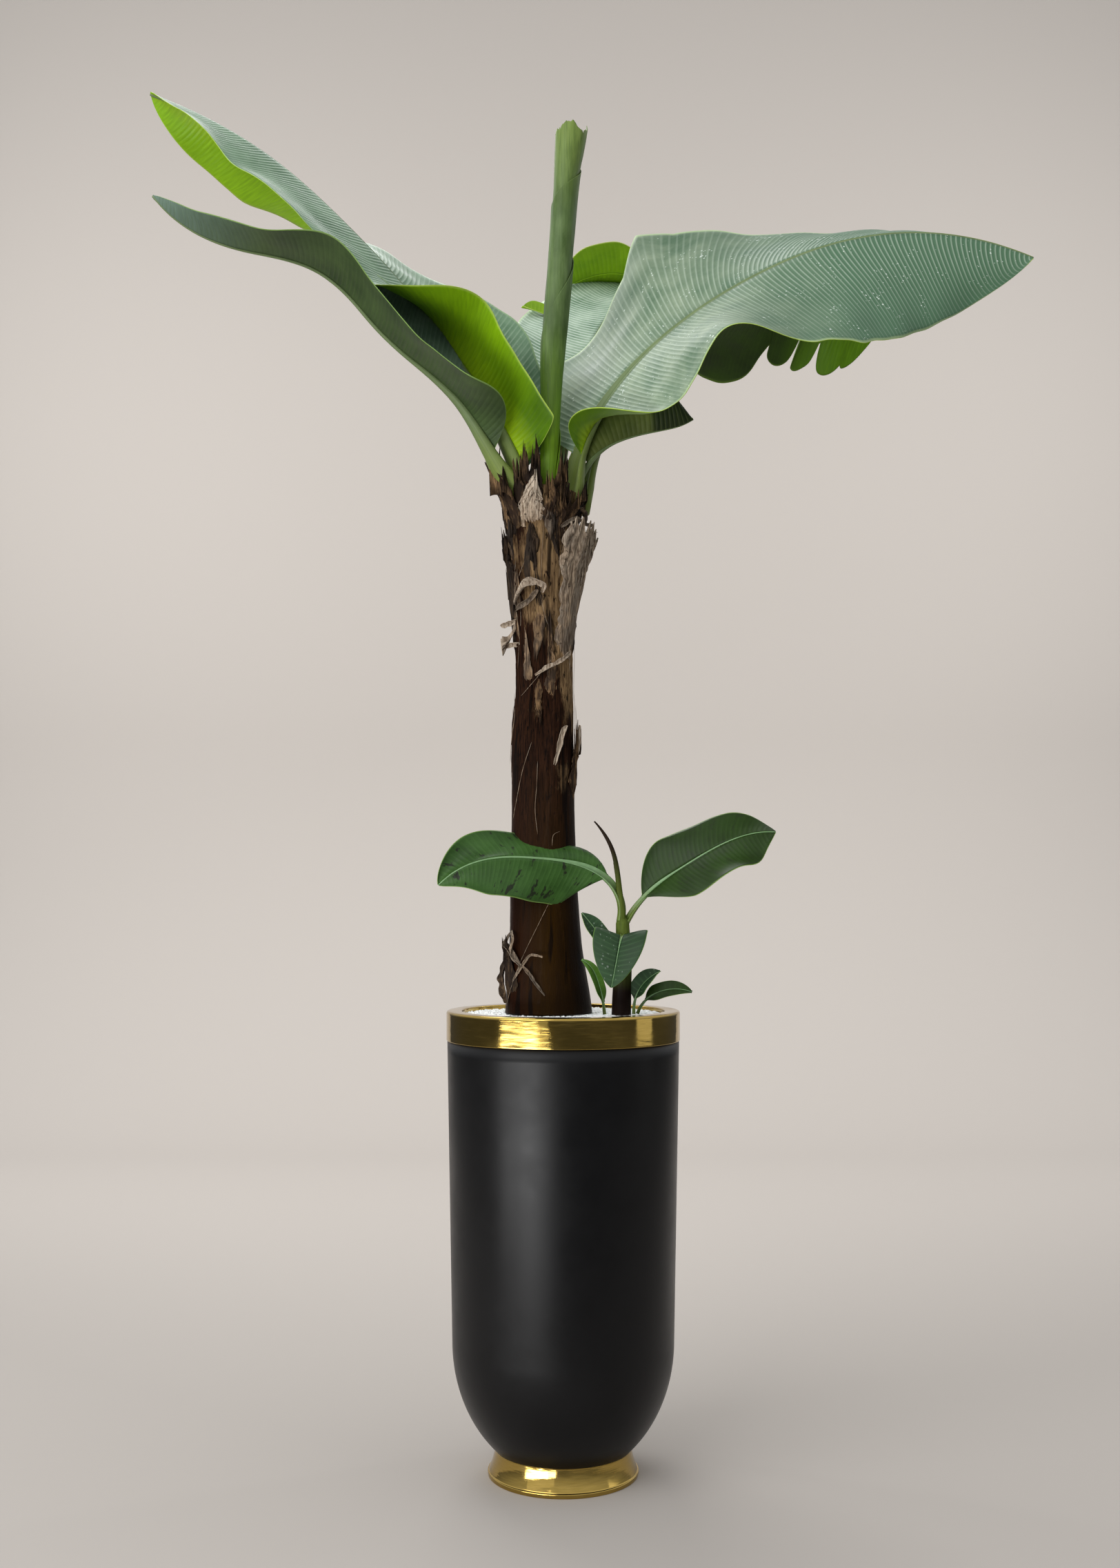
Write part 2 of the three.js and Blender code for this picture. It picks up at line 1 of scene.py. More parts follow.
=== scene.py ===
# Potted banana plant: the looks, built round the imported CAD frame.
import math
import bpy
import numpy as np
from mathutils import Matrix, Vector


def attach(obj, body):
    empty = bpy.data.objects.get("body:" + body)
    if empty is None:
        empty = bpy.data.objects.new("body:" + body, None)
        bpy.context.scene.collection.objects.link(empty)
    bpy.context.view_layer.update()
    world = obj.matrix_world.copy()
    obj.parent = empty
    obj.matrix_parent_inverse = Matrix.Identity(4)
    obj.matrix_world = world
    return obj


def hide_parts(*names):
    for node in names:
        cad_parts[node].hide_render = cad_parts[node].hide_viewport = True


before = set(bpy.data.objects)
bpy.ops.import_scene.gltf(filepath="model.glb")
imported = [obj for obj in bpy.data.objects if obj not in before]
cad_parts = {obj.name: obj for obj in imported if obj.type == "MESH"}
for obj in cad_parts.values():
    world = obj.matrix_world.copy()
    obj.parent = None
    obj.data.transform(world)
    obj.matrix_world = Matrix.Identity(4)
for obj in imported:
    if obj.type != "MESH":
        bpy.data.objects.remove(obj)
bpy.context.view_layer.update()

# ---- camera, floor and light ----
# A level camera stands 2.5 m in front, and a sweep of pale matte paper rises behind the plant. The room
# glows from above, with a wide soft key at the upper left and a low one for the under faces. Two panels and
# a faint card put the highlights in the enamel and the brass, and the rest light the back and the paper.
CAMERA_AT = (-0.005, -2.535, 0.887)
LENS, FILM_WIDTH, FRAME_SHIFT = 37.7, 36.0, 0.0724
SWEEP_FRONT, SWEEP_BACK, SWEEP_SIDE, SWEEP_TOP, SWEEP_BEND = -1.2, 4.7, 2.9, 5.4, 1.6


def linear(hex_colour):
    """An sRGB colour such as #8fae9b as linear red, green, blue and alpha."""
    parts = [int(hex_colour[i:i + 2], 16) / 255 for i in (1, 3, 5)]
    return [c / 12.92 if c <= 0.04045 else ((c + 0.055) / 1.055) ** 2.4 for c in parts] + [1]


def add(tree, kind, inputs=(), out=0, **settings):
    """Adds a shader node with its settings, its input values and its links, and gives back the output
    socket to link on from."""
    made = tree.nodes.new("ShaderNode" + kind)
    for key, value in settings.items():
        setattr(made, key, value)
    for key, value in dict(inputs).items():
        if isinstance(value, bpy.types.NodeSocket):
            tree.links.new(value, made.inputs[key])
        else:
            made.inputs[key].default_value = linear(value) if isinstance(value, str) else value
    return made.outputs[out] if len(made.outputs) else made


def finish(name):
    """A new empty material and its node tree."""
    material = bpy.data.materials.new(name)
    material.use_nodes = True
    material.node_tree.nodes.clear()
    return material, material.node_tree


camera = bpy.data.objects.new("camera", bpy.data.cameras.new("camera"))
camera.data.lens, camera.data.sensor_width, camera.data.shift_y = LENS, FILM_WIDTH, FRAME_SHIFT
camera.location, camera.rotation_euler = CAMERA_AT, (math.radians(90), 0, 0)
bpy.context.scene.collection.objects.link(camera)
bpy.context.scene.camera = camera
bpy.context.scene.view_settings.view_transform = "Standard"

profile = [(SWEEP_FRONT, 0.0), (SWEEP_BACK - SWEEP_BEND, 0.0)]
profile += [(SWEEP_BACK - SWEEP_BEND + SWEEP_BEND * math.sin(a), SWEEP_BEND * (1 - math.cos(a)))
            for a in np.linspace(0, math.pi / 2, 25)[1:]]
profile += [(SWEEP_BACK, SWEEP_TOP)]
sweep_mesh = bpy.data.meshes.new("paper_sweep")
sweep_mesh.from_pydata(
    [(x, y, z) for y, z in profile for x in (-SWEEP_SIDE, SWEEP_SIDE)], [],
    [(2 * i, 2 * i + 1, 2 * i + 3, 2 * i + 2) for i in range(len(profile) - 1)])
sweep_mesh.shade_smooth()
sweep = bpy.data.objects.new("paper_sweep", sweep_mesh)
bpy.context.scene.collection.objects.link(sweep)
paper, tree = finish("matte background paper")
sheet = add(tree, "BsdfPrincipled", {"Base Color": "#aca6a0", "Roughness": 0.95, "Specular IOR Level": 0.1})
add(tree, "OutputMaterial", {"Surface": sheet})
sweep.data.materials.append(paper)

world = bpy.data.worlds.new("soft room light")
world.use_nodes = True
tree = world.node_tree
tree.nodes.clear()
upward = add(tree, "SeparateXYZ", {"Vector": add(tree, "TexCoord")}, 2)
glow = add(tree, "MapRange", {"Value": upward, "From Min": -0.06, "From Max": 0.45,
                              "To Min": 0.1, "To Max": 1.0})
add(tree, "OutputWorld", {"Surface": add(tree, "Background", {"Color": "#f1f2f4", "Strength": glow})})
bpy.context.scene.world = world

LIGHTS = {
    # name: place, aimed at, width, height, watts
    "key": ((-2.3, -2.6, 3.1), (0.0, 0.0, 1.3), 3.4, 3.0, 86),
    "panel_left": ((-1.85, -2.0, 0.2), (0.0, 0.0, 0.6), 1.8, 0.4, 30),
    "panel_right": ((2.3, -0.3, 0.62), (0.0, 0.0, 0.62), 0.8, 0.4, 0.8),
    "rim_card": ((-1.5, -2.1, 0.6), (0.0, 0.0, 0.68), 2.0, 0.5, 1.3),
    "under_fill": ((-1.1, -2.3, 0.14), (-0.15, 0.0, 1.75), 1.2, 0.45, 18),
    "over_back": ((-0.8, 2.2, 3.9), (0.0, 0.0, 1.6), 2.0, 1.2, 50),
    "wall_left": ((-2.6, 1.6, 3.0), (-0.3, 4.7, 3.2), 1.2, 2.0, 100),
    "wall_right": ((2.6, 1.6, 3.0), (0.3, 4.7, 3.2), 1.2, 2.0, 90),
}
for name, (place, aim, width, height, watts) in LIGHTS.items():
    lamp = bpy.data.objects.new(name, bpy.data.lights.new(name, "AREA"))
    lamp.data.shape, lamp.data.size, lamp.data.size_y, lamp.data.energy = "RECTANGLE", width, height, watts
    lamp.location = place
    lamp.rotation_euler = (Vector(aim) - Vector(place)).to_track_quat("-Z", "Y").to_euler()
    bpy.context.scene.collection.objects.link(lamp)


# ---- pot body ----
# The pot is spun from sheet steel: straight sides that draw in a little downwards and a bowl for a bottom,
# sprayed with a satin black enamel. It is turned here from the same profile as the frame's shell.
RIM_R, RIM_INNER_R, RIM_Z, POT_TOP = 180.0, 156.0, 668.0, 713.5
BODY_TOP_R, BODY_LOW_R, BODY_LOW_Z, BOWL_H, BOWL_CUT_Z, WALL = 178.6, 171.0, 205.0, 208.0, 20.0, 4.0
GAP = 0.35  # left between pieces that touch
ROUND = 180  # faces round a turned piece


def piece(name, points, faces, materials, stands_for=(), face_material=None, maps=None):
    """A smooth mesh object from points in millimetres, riding with the plant. maps are named lists of
    two values a point; face_material gives each face's place in materials."""
    mesh = bpy.data.meshes.new(name)
    faces = [face for block in faces for face in (block.tolist() if hasattr(block, "tolist") else block)]
    mesh.from_pydata((np.asarray(points) / 1000).tolist(), [], faces)
    for material in materials:
        mesh.materials.append(material)
    if face_material is not None:
        mesh.polygons.foreach_set("material_index", np.asarray(face_material, np.int32))
    corner = np.empty(len(mesh.loops), np.int32)
    mesh.loops.foreach_get("vertex_index", corner)
    for map_name, values in (maps or {}).items():
        layer = mesh.uv_layers.new(name=map_name)
        layer.data.foreach_set("uv", np.asarray(values, np.float32)[corner].ravel())
    mesh.shade_smooth()
    made = bpy.data.objects.new(name, mesh)
    bpy.context.scene.collection.objects.link(made)
    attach(made, "root")
    if stands_for:
        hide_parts(*stands_for)


def turned(profile):
    """Points and faces of a closed profile of (radius, height) pairs turned about Z. Points on the axis
    are shared."""
    points, rows = [], []
    for r, z in profile:
        if r == 0:
            rows.append([len(points)] * ROUND)
            points.append((0, 0, z))
        else:
            rows.append(list(range(len(points), len(points) + ROUND)))
            points += [(r * math.cos(a), r * math.sin(a), z)
                       for a in np.linspace(0, 2 * math.pi, ROUND, endpoint=False)]
    faces = []
    for low, high in zip(rows, rows[1:] + rows[:1]):
        for j in range(ROUND):
            k = (j + 1) % ROUND
            corners = list(dict.fromkeys((low[j], low[k], high[k], high[j])))
            if len(corners) > 2:
                faces.append(corners)
    return points, [faces]


def pot_side(offset, bottom, top, steps=48):
    """The side of the pot from its flat bottom to height top, moved outwards by offset."""
    start = math.asin(min(1, (BODY_LOW_Z - bottom) / (BOWL_H + offset)))
    bowl = [((BODY_LOW_R + offset) * math.cos(a), BODY_LOW_Z - (BOWL_H + offset) * math.sin(a))
            for a in np.linspace(start, 0, steps)]
    side = [(BODY_LOW_R + (BODY_TOP_R - BODY_LOW_R) * k + offset, BODY_LOW_Z + (top - BODY_LOW_Z) * k)
            for k in np.linspace(0, 1, steps // 2)[1:]]
    return bowl + side


# satin black enamel: a soft broad highlight, with the faint orange peel of spray paint, about 3 mm across,
# and a haze of handling 60 to 150 mm across that makes the sheen uneven
enamel, tree = finish("satin black enamel")
place = add(tree, "TexCoord", out=3)
peel = add(tree, "TexNoise", {"Vector": place, "Scale": 1 / 0.003, "Detail": 2.0})
haze = add(tree, "TexNoise", {"Vector": place, "Scale": 1 / 0.1, "Detail": 5.0, "Roughness": 0.6})
coat = add(tree, "Mix", {0: haze, 6: "#060607", 7: "#0e0e0f"}, 2, data_type="RGBA")
dull = add(tree, "MapRange", {"Value": haze, "From Min": 0.3, "From Max": 0.7, "To Min": 0.3, "To Max": 0.42})
relief = add(tree, "Bump", {"Strength": 0.08, "Distance": 0.0005, "Height": peel})
skin = add(tree, "BsdfPrincipled", {"Base Color": coat, "Roughness": dull, "Normal": relief, "IOR": 1.28})
add(tree, "OutputMaterial", {"Surface": skin})

outer = pot_side(0, BOWL_CUT_Z, RIM_Z - GAP)
inner = pot_side(-WALL, BOWL_CUT_Z + WALL, RIM_Z - GAP)
points, faces = turned([(0, BOWL_CUT_Z)] + outer + inner[::-1] + [(0, BOWL_CUT_Z + WALL)])
piece("pot_shell", points, faces, [enamel], ["pot_body"])

# ---- brass foot and rim band ----
# Both trims are rolled from brass-coloured sheet and polished. The foot is a cone on a thin lip, and the rim
# band has a flat top with softly rounded edges. They are pressed on to the black shell.
FOOT_R, FOOT_LIP, FOOT_TOP_R, FOOT_TOP_Z, FOOT_STEP = 116.5, 7.0, 105.0, 41.0, 2.2
LIP_EDGE, FLARE_DISH = 1.5, 1.2
RIM_EDGE, RIM_INNER_EDGE, RIM_LOW_EDGE = 4.0, 2.0, 1.0


def rounded(corner, radius, start, end, steps=7):
    """An arc round a corner centre, angles in degrees."""
    turns = [math.radians(a) for a in np.linspace(start, end, steps)]
    return [(corner[0] + radius * math.cos(a), corner[1] + radius * math.sin(a)) for a in turns]


# polished brass: a warm mirror. Fine rolling marks run round it 1 to 2 mm apart, shallow dents 30 to 60 mm
# long make the reflections waver, and a few patches are dull from handling
brass, tree = finish("polished brass plate")
place = add(tree, "TexCoord", out=3)
rolled = add(tree, "Mapping", {"Vector": place, "Scale": (1.0, 1.0, 14.0)})
marks = add(tree, "TexNoise", {"Vector": rolled, "Scale": 1 / 0.02, "Detail": 3.0})
dents = add(tree, "TexNoise", {"Vector": add(tree, "Mapping", {"Vector": place, "Scale": (1.0, 1.0, 4.0)}),
                               "Scale": 1 / 0.05, "Detail": 2.0})
smudge = add(tree, "TexNoise", {"Vector": place, "Scale": 1 / 0.06, "Detail": 4.0})
dull = add(tree, "MapRange", {"Value": smudge, "From Min": 0.4, "From Max": 0.75,
                              "To Min": 0.06, "To Max": 0.2})
warm = add(tree, "Mix", {0: marks, 6: "#bda15a", 7: "#9f8540"}, 2, data_type="RGBA")
waver = add(tree, "Bump", {"Strength": 0.3, "Distance": 0.0012, "Height": dents})
relief = add(tree, "Bump", {"Strength": 0.12, "Distance": 0.0003, "Height": marks, "Normal": waver})
skin = add(tree, "BsdfPrincipled", {"Base Color": warm, "Metallic": 1.0, "Roughness": dull, "Normal": relief})
add(tree, "OutputMaterial", {"Surface": skin})

lip_r = FOOT_R - FOOT_STEP
flare = [(lip_r + (FOOT_TOP_R - lip_r) * k - FLARE_DISH * math.sin(math.pi * k),
          FOOT_LIP + (FOOT_TOP_Z - FOOT_LIP) * k) for k in np.linspace(0, 1, 20)]
cup = [(r + GAP, z - GAP) for r, z in pot_side(0, BOWL_CUT_Z, RIM_Z) if z < FOOT_TOP_Z][::-1]
points, faces = turned([(0, 0)] + rounded((FOOT_R - LIP_EDGE, LIP_EDGE), LIP_EDGE, -90, 0)
                       + rounded((FOOT_R - LIP_EDGE, FOOT_LIP - LIP_EDGE), LIP_EDGE, 0, 90) + flare + cup
                       + [(0, BOWL_CUT_Z - GAP)])
piece("foot_ring", points, faces, [brass], ["pot_foot"])

# two stops on the plain side of the band keep its reflections straight between the rounded edges
band_side = [(RIM_R, RIM_Z + 2 * RIM_LOW_EDGE), (RIM_R, POT_TOP - RIM_EDGE - RIM_LOW_EDGE)]
points, faces = turned(
    rounded((RIM_INNER_R + RIM_INNER_EDGE, RIM_Z + RIM_LOW_EDGE), RIM_LOW_EDGE, 180, 270)
    + rounded((RIM_R - RIM_LOW_EDGE, RIM_Z + RIM_LOW_EDGE), RIM_LOW_EDGE, -90, 0) + band_side
    + rounded((RIM_R - RIM_EDGE, POT_TOP - RIM_EDGE), RIM_EDGE, 0, 90)
    + rounded((RIM_INNER_R + RIM_INNER_EDGE, POT_TOP - RIM_INNER_EDGE), RIM_INNER_EDGE, 90, 180))
piece("rim_band", points, faces, [brass], ["pot_band"])

# ---- potting mix and gravel ----
# Under the rim the pot is full of potting mix, topped with washed white marble gravel of 4 to 8 mm. The
# filling is one turned body just under the top layer, and the stones are rounded lumps laid on it.
FILL_TOP = 709.0
STONE_BED = FILL_TOP - 5.0
STONE_PITCH, STONE_JITTER = 6.4, 1.4
STONE_RADII = ((2.4, 3.9), (2.2, 3.4), (1.7, 2.6))  # smallest and largest, along, across and up
STONE_SEAT, STONE_HEAP, STONE_ROUGH = 1.4, 1.6, 0.14
LATTICE_ROW = 0.87  # spacing of the rows of a triangular lattice, as a share of its pitch
BAND_CLEAR = 3.0
TRUNK_CLEAR, SHOOT_CLEAR = 62.0, 11.0
TRUNK_AT, SHOOT_AT = (-25.0, 4.0), (88.0, -45.0)


def scattered_stones(seed):
    """Rounded, slightly squashed lumps on a jittered triangular lattice, all in one mesh."""
    rng = np.random.default_rng(seed)
    step = math.radians(60)
    ring = [(math.cos(k * step), math.sin(k * step)) for k in range(6)]
    hoops = [(wide * x, wide * y, z) for wide, z in ((0.8, -0.6), (1, 0), (0.78, 0.62)) for x, y in ring]
    lump = np.array([(0, 0, -1)] + hoops + [(0, 0, 1)])
    rows = [[0] * 6] + [list(range(1 + 6 * k, 7 + 6 * k)) for k in range(3)] + [[19] * 6]
    lump_faces = []
    for low, high in zip(rows, rows[1:]):
        for j in range(6):
            k = (j + 1) % 6
            lump_faces.append(tuple(dict.fromkeys((low[j], low[k], high[k], high[j]))))
    points, faces = [], []
    reach = RIM_INNER_R - BAND_CLEAR
    for row, y in enumerate(np.arange(-reach, reach, STONE_PITCH * LATTICE_ROW)):
        for x in np.arange(-reach, reach, STONE_PITCH) + (row % 2) * STONE_PITCH / 2:
            x2 = x + rng.uniform(-STONE_JITTER, STONE_JITTER)
            y2 = y + rng.uniform(-STONE_JITTER, STONE_JITTER)
            size = np.array([rng.uniform(*limits) for limits in STONE_RADII])
            turn, height = rng.uniform(0, math.pi), rng.uniform(0, STONE_HEAP)
            rough = 1 + rng.uniform(-STONE_ROUGH, STONE_ROUGH, (len(lump), 1))
            if (math.hypot(x2, y2) > reach or math.hypot(x2 - TRUNK_AT[0], y2 - TRUNK_AT[1]) < TRUNK_CLEAR
                    or math.hypot(x2 - SHOOT_AT[0], y2 - SHOOT_AT[1]) < SHOOT_CLEAR):
                continue
            body = lump * rough * size
            c, s = math.cos(turn), math.sin(turn)
            body = np.stack([body[:, 0] * c - body[:, 1] * s + x2, body[:, 0] * s + body[:, 1] * c + y2,
                             body[:, 2] + STONE_BED + STONE_SEAT + height], -1)
            faces += [tuple(i + len(points) for i in face) for face in lump_faces]
            points += body.tolist()
    return points, faces


# washed marble chips: near-white, each stone a little greyer or warmer than the next, matte with a slight
# sugar-like grain of about 1 mm
marble, tree = finish("washed white marble chips")
place = add(tree, "TexCoord", out=3)
chip_tone = add(tree, "TexVoronoi", {"Vector": place, "Scale": 1 / 0.008}, 1)
grain = add(tree, "TexNoise", {"Vector": place, "Scale": 1 / 0.001, "Detail": 2.0})
grey, warm = (add(tree, "SeparateColor", {"Color": chip_tone}, out) for out in (0, 1))
warm = add(tree, "Math", {0: warm, 1: 0.2}, operation="MULTIPLY")
chip = "#ffffff"
for where, tone in ((grey, "#eaf0ef"), (warm, "#d8ccb6")):
    chip = add(tree, "Mix", {0: where, 6: chip, 7: tone}, 2, data_type="RGBA")
relief = add(tree, "Bump", {"Strength": 0.3, "Distance": 0.0004, "Height": grain})
skin = add(tree, "BsdfPrincipled", {"Base Color": chip, "Roughness": 0.6, "Normal": relief})
add(tree, "OutputMaterial", {"Surface": skin})

inside = pot_side(-WALL - GAP, BOWL_CUT_Z + WALL + GAP, RIM_Z - 2 * GAP)
neck = [(RIM_INNER_R - GAP, RIM_Z - 2 * GAP), (RIM_INNER_R - GAP, STONE_BED)]
points, faces = turned([(0, BOWL_CUT_Z + WALL + GAP)] + inside + neck + [(0, STONE_BED)])
piece("pot_filling", points, faces, [marble], ["gravel_fill"])
points, faces = scattered_stones(7)
piece("gravel_top", points, [faces], [marble])

# ---- false stem ----
# The stem is a tight roll of leaf sheaths. Near the pot their skins are smooth, wet-looking and dark brown,
# and higher up they dry, crack and turn papery. The relief has long overlapping sheath edges and fibres.
TRUNK_FOOT_Z, TRUNK_TOP_Z = FILL_TOP + GAP, 1530.0
# radius and middle of the stem at even heights from the gravel to the top
TRUNK_R = [69, 58, 53, 50, 49, 46, 47, 52, 60]
TRUNK_X = [-25, -29, -31, -31, -30, -27, -30, -32, -31]
TRUNK_Y = [4, 3, 2, 2, 2, 3, 4, 5, 6]
STEM_ROWS, STEM_COLUMNS = 360, 190
# where a sheath's edge starts and how far it winds by the top, in degrees, and how far it stands out
SHEATH_EDGES = [(20, 95, 1.5), (95, -60, 1.3), (150, 70, 1.6), (205, -45, 1.2), (255, 60, 1.7),
                (310, -80, 1.4)]


def smooth(t):
    """Eases from 0 to 1, and stays there outside that range."""
    c = np.clip(t, 0, 1)
    return c * c * (3 - 2 * c)


def along(keys, t):
    """Smooth value at t (0 to 1) through evenly spaced values, for arrays of t."""
    keys = np.asarray(keys, float)
    t = np.asarray(t, float)
    if len(keys) == 1:
        return np.full(t.shape, keys[0])
    n = len(keys) - 1
    x = np.clip(t, 0, 1) * n
    i = np.minimum(np.floor(x).astype(int), n - 1)
    f = x - i
    p0, p1, p2, p3 = (keys[np.clip(i + d, 0, n)] for d in (-1, 0, 1, 2))
    return 0.5 * (2 * p1 + (p2 - p0) * f + (2 * p0 - 5 * p1 + 4 * p2 - p3) * f ** 2
                  + (3 * p1 - p0 - 3 * p2 + p3) * f ** 3)


def mottle(x, y, seed, wrap=64):
    """Smooth noise from -1 to 1 over a plane whose cells are 1 wide; x repeats after wrap cells."""
    table = np.random.default_rng(seed).uniform(-1, 1, (wrap, 256))
    i, j = np.floor(x).astype(int), np.floor(y).astype(int)
    f, g = smooth(x - i), smooth(y - j)

    def at(a, b):
        return table[a % wrap, b % 256]

    return ((at(i, j) * (1 - f) + at(i + 1, j) * f) * (1 - g)
            + (at(i, j + 1) * (1 - f) + at(i + 1, j + 1) * f) * g)


def stem_point(t, a, out=0.0):
    """Points on the false stem at height share t and angle a in degrees, moved outwards by out. The rolled
    sheaths give it a slightly lobed section, and its top sags to one side."""
    rad = np.radians(a)
    lobed = along(TRUNK_R, t) + 1.6 * np.cos(3 * rad + 4 * t) + 0.9 * np.cos(5 * rad - 3 * t) - 1.5 + out
    sag = 24 * smooth((t - 0.88) / 0.12) * (0.5 + 0.5 * np.cos(rad + 0.5))
    return np.stack([along(TRUNK_X, t) + lobed * np.cos(rad), along(TRUNK_Y, t) + lobed * np.sin(rad),
                     TRUNK_FOOT_Z + (TRUNK_TOP_Z - TRUNK_FOOT_Z) * np.asarray(t, float) - sag], -1)


def stem_relief(t, a):
    """How far the stem's skin stands out: sheath edges, fibres, and cracks that deepen towards the top."""
    height = t * (TRUNK_TOP_Z - TRUNK_FOOT_Z)
    dry = 0.15 + 0.85 * smooth((t - 0.35) / 0.35)
    out = np.zeros_like(t)
    for start, drift, rise in SHEATH_EDGES:
        past = np.mod(a - start - drift * t + 4 * np.sin(height / 47 + start), 360) / 360
        out += rise * (np.exp(-past * 9) - 0.12)
    fibre = mottle(a / 1.6, height / 70, 3, 225) + 0.6 * mottle(a / 3.6, height / 38, 4, 100)
    lump = mottle(a / 18, height / 26, 5, 20) + 0.5 * mottle(a / 9, height / 15, 6, 40)
    crack = np.clip(mottle(a / 6, height / 60, 8, 60) - 0.45, 0, 1)
    return out * (0.5 + 1.7 * dry) + dry * (0.5 * fibre + 1.3 * lump - 4.0 * crack)


def tube(rings):
    """Points and faces of a closed body skinned over rings of equal point count, each running
    counter-clockwise seen from the far end."""
    rows, count = rings.shape[:2]
    index = np.arange(rows * count).reshape(rows, count)
    turned_on = np.roll(index, -1, axis=1)
    sides = np.stack([index[:-1], turned_on[:-1], turned_on[1:], index[1:]], -1).reshape(-1, 4)
    points = np.concatenate([rings.reshape(-1, 3), rings[0].mean(0)[None], rings[-1].mean(0)[None]])
    low = np.stack([np.full(count, rows * count), turned_on[0], index[0]], -1)
    high = np.stack([np.full(count, rows * count + 1), index[-1], turned_on[-1]], -1)
    return points, [sides, low, high]


# false stem skin: low down it is smooth, wet-looking and near-black brown. By its place from left to right it
# carries painted light, olive across the middle, and painted shade, black on the right. Higher up it is
# cracked and fibrous, with tan papery patches. Fibres run up it about 2 mm apart, the black streaks are up
# to 14 mm wide, and the black specks 6 mm wide and 17 mm long.
stem_skin, tree = finish("brown sheath skin")
place = add(tree, "TexCoord", out=3)
across, height = (add(tree, "SeparateXYZ", {"Vector": place}, out) for out in (0, 2))
drawn_up = add(tree, "Mapping", {"Vector": place, "Scale": (1.0, 1.0, 0.07)})
half_drawn = add(tree, "Mapping", {"Vector": place, "Scale": (1.0, 1.0, 0.35)})
fibres = add(tree, "TexNoise", {"Vector": drawn_up, "Scale": 1 / 0.002, "Detail": 4.0, "Roughness": 0.65})
streaks = add(tree, "TexNoise", {"Vector": drawn_up, "Scale": 1 / 0.014, "Detail": 4.0})
blots = add(tree, "TexNoise", {"Vector": half_drawn, "Scale": 1 / 0.035, "Detail": 6.0, "Roughness": 0.62})
spots = add(tree, "TexNoise", {"Vector": half_drawn, "Scale": 1 / 0.006, "Detail": 3.0, "Roughness": 0.6})
fibre_tone = add(tree, "MapRange", {"Value": fibres, "From Min": 0.36, "From Max": 0.68})
streak_tone = add(tree, "MapRange", {"Value": streaks, "From Min": 0.35, "From Max": 0.68})
dark_streak = add(tree, "Math", {0: streak_tone, 1: 0.55}, operation="MULTIPLY")
# painted light: olive across the middle of the stem, fading out towards its left edge
side = add(tree, "MapRange", {"Value": across, "From Min": -0.075, "From Max": -0.03})
# painted shade: black over the right side
shade = add(tree, "MapRange", {"Value": across, "From Min": -0.015, "From Max": 0.03, "To Max": 0.85})
drying = add(tree, "MapRange", {"Value": height, "From Min": 0.9, "From Max": 1.1})
brown = add(tree, "Mix", {0: fibre_tone, 6: "#0d0604", 7: "#301c10"}, 2, data_type="RGBA")
sunny = add(tree, "MapRange", {"Value": across, "From Min": -0.07, "From Max": 0.0,
                               "To Min": -0.17, "To Max": 0.2})
up = add(tree, "MapRange", {"Value": height, "From Min": 0.96, "From Max": 1.42, "To Max": 0.55})
dryness = add(tree, "Math", {0: add(tree, "Math", {0: blots, 1: sunny}), 1: up})
papery = add(tree, "MapRange", {"Value": dryness, "From Min": 0.86, "From Max": 0.98, "To Max": 0.9})
tan = add(tree, "Mix", {0: fibre_tone, 6: "#4f3c29", 7: "#8f7553"}, 2, data_type="RGBA")
fissure = add(tree, "MapRange", {"Value": streaks, "From Min": 0.42, "From Max": 0.36, "To Max": 0.85})
speck = add(tree, "MapRange", {"Value": spots, "From Min": 0.6, "From Max": 0.66, "To Max": 0.9})
speck = add(tree, "Math", {0: speck, 1: drying}, operation="MULTIPLY")
colour = "#220e05"
for where, tone in ((side, "#291903"), (shade, "#0b0604"), (dark_streak, "#170d07"), (drying, brown),
                    (papery, tan), (fissure, "#0b0604"), (speck, "#0b0604")):
    colour = add(tree, "Mix", {0: where, 6: colour, 7: tone}, 2, data_type="RGBA")
dull = add(tree, "MapRange", {"Value": height, "From Min": 0.9, "From Max": 1.15,
                              "To Min": 0.33, "To Max": 0.85})
relief = add(tree, "Bump", {"Strength": 0.6, "Distance": 0.0012, "Height": fibres})
skin = add(tree, "BsdfPrincipled", {"Base Color": colour, "Roughness": dull, "Normal": relief, "IOR": 1.12})
add(tree, "OutputMaterial", {"Surface": skin})

share, angle = np.meshgrid(np.linspace(0, 1, STEM_ROWS), np.linspace(0, 360, STEM_COLUMNS, endpoint=False),
                           indexing="ij")
points, faces = tube(stem_point(share, angle, stem_relief(share, angle)))
piece("false_stem_skin", points, faces, [stem_skin], ["false_stem"])

# ---- crown leaves ----
# Each leaf is a channelled stalk that runs on as the midrib, with a thin pleated blade on either side of it.
# The upper face has a pale waxy bloom, and the under face is a fresher green. The side veins run out from
# the midrib to the margin about 7 mm apart and pleat the blade.
PLEAT = 7.4  # from one side vein to the next
BLADE_THICK = 0.9
NARROWEST = 1.2  # of a half blade, so that its sheet stays closed at both ends
BETWEEN_LOBES = 0.3  # share of its width that a torn blade keeps between its lobes
RIB_FACETS, RIB_CHANNEL, RIB_THINNEST = 20, 1.25, 0.9
MIDRIB_STEPS = 960
CLASP_REACH = 70  # how far up its stalk a leaf still clasps the stem


def unit(ways):
    """Directions scaled to a length of 1."""
    return ways / np.maximum(np.linalg.norm(ways, axis=-1, keepdims=True), 1e-9)


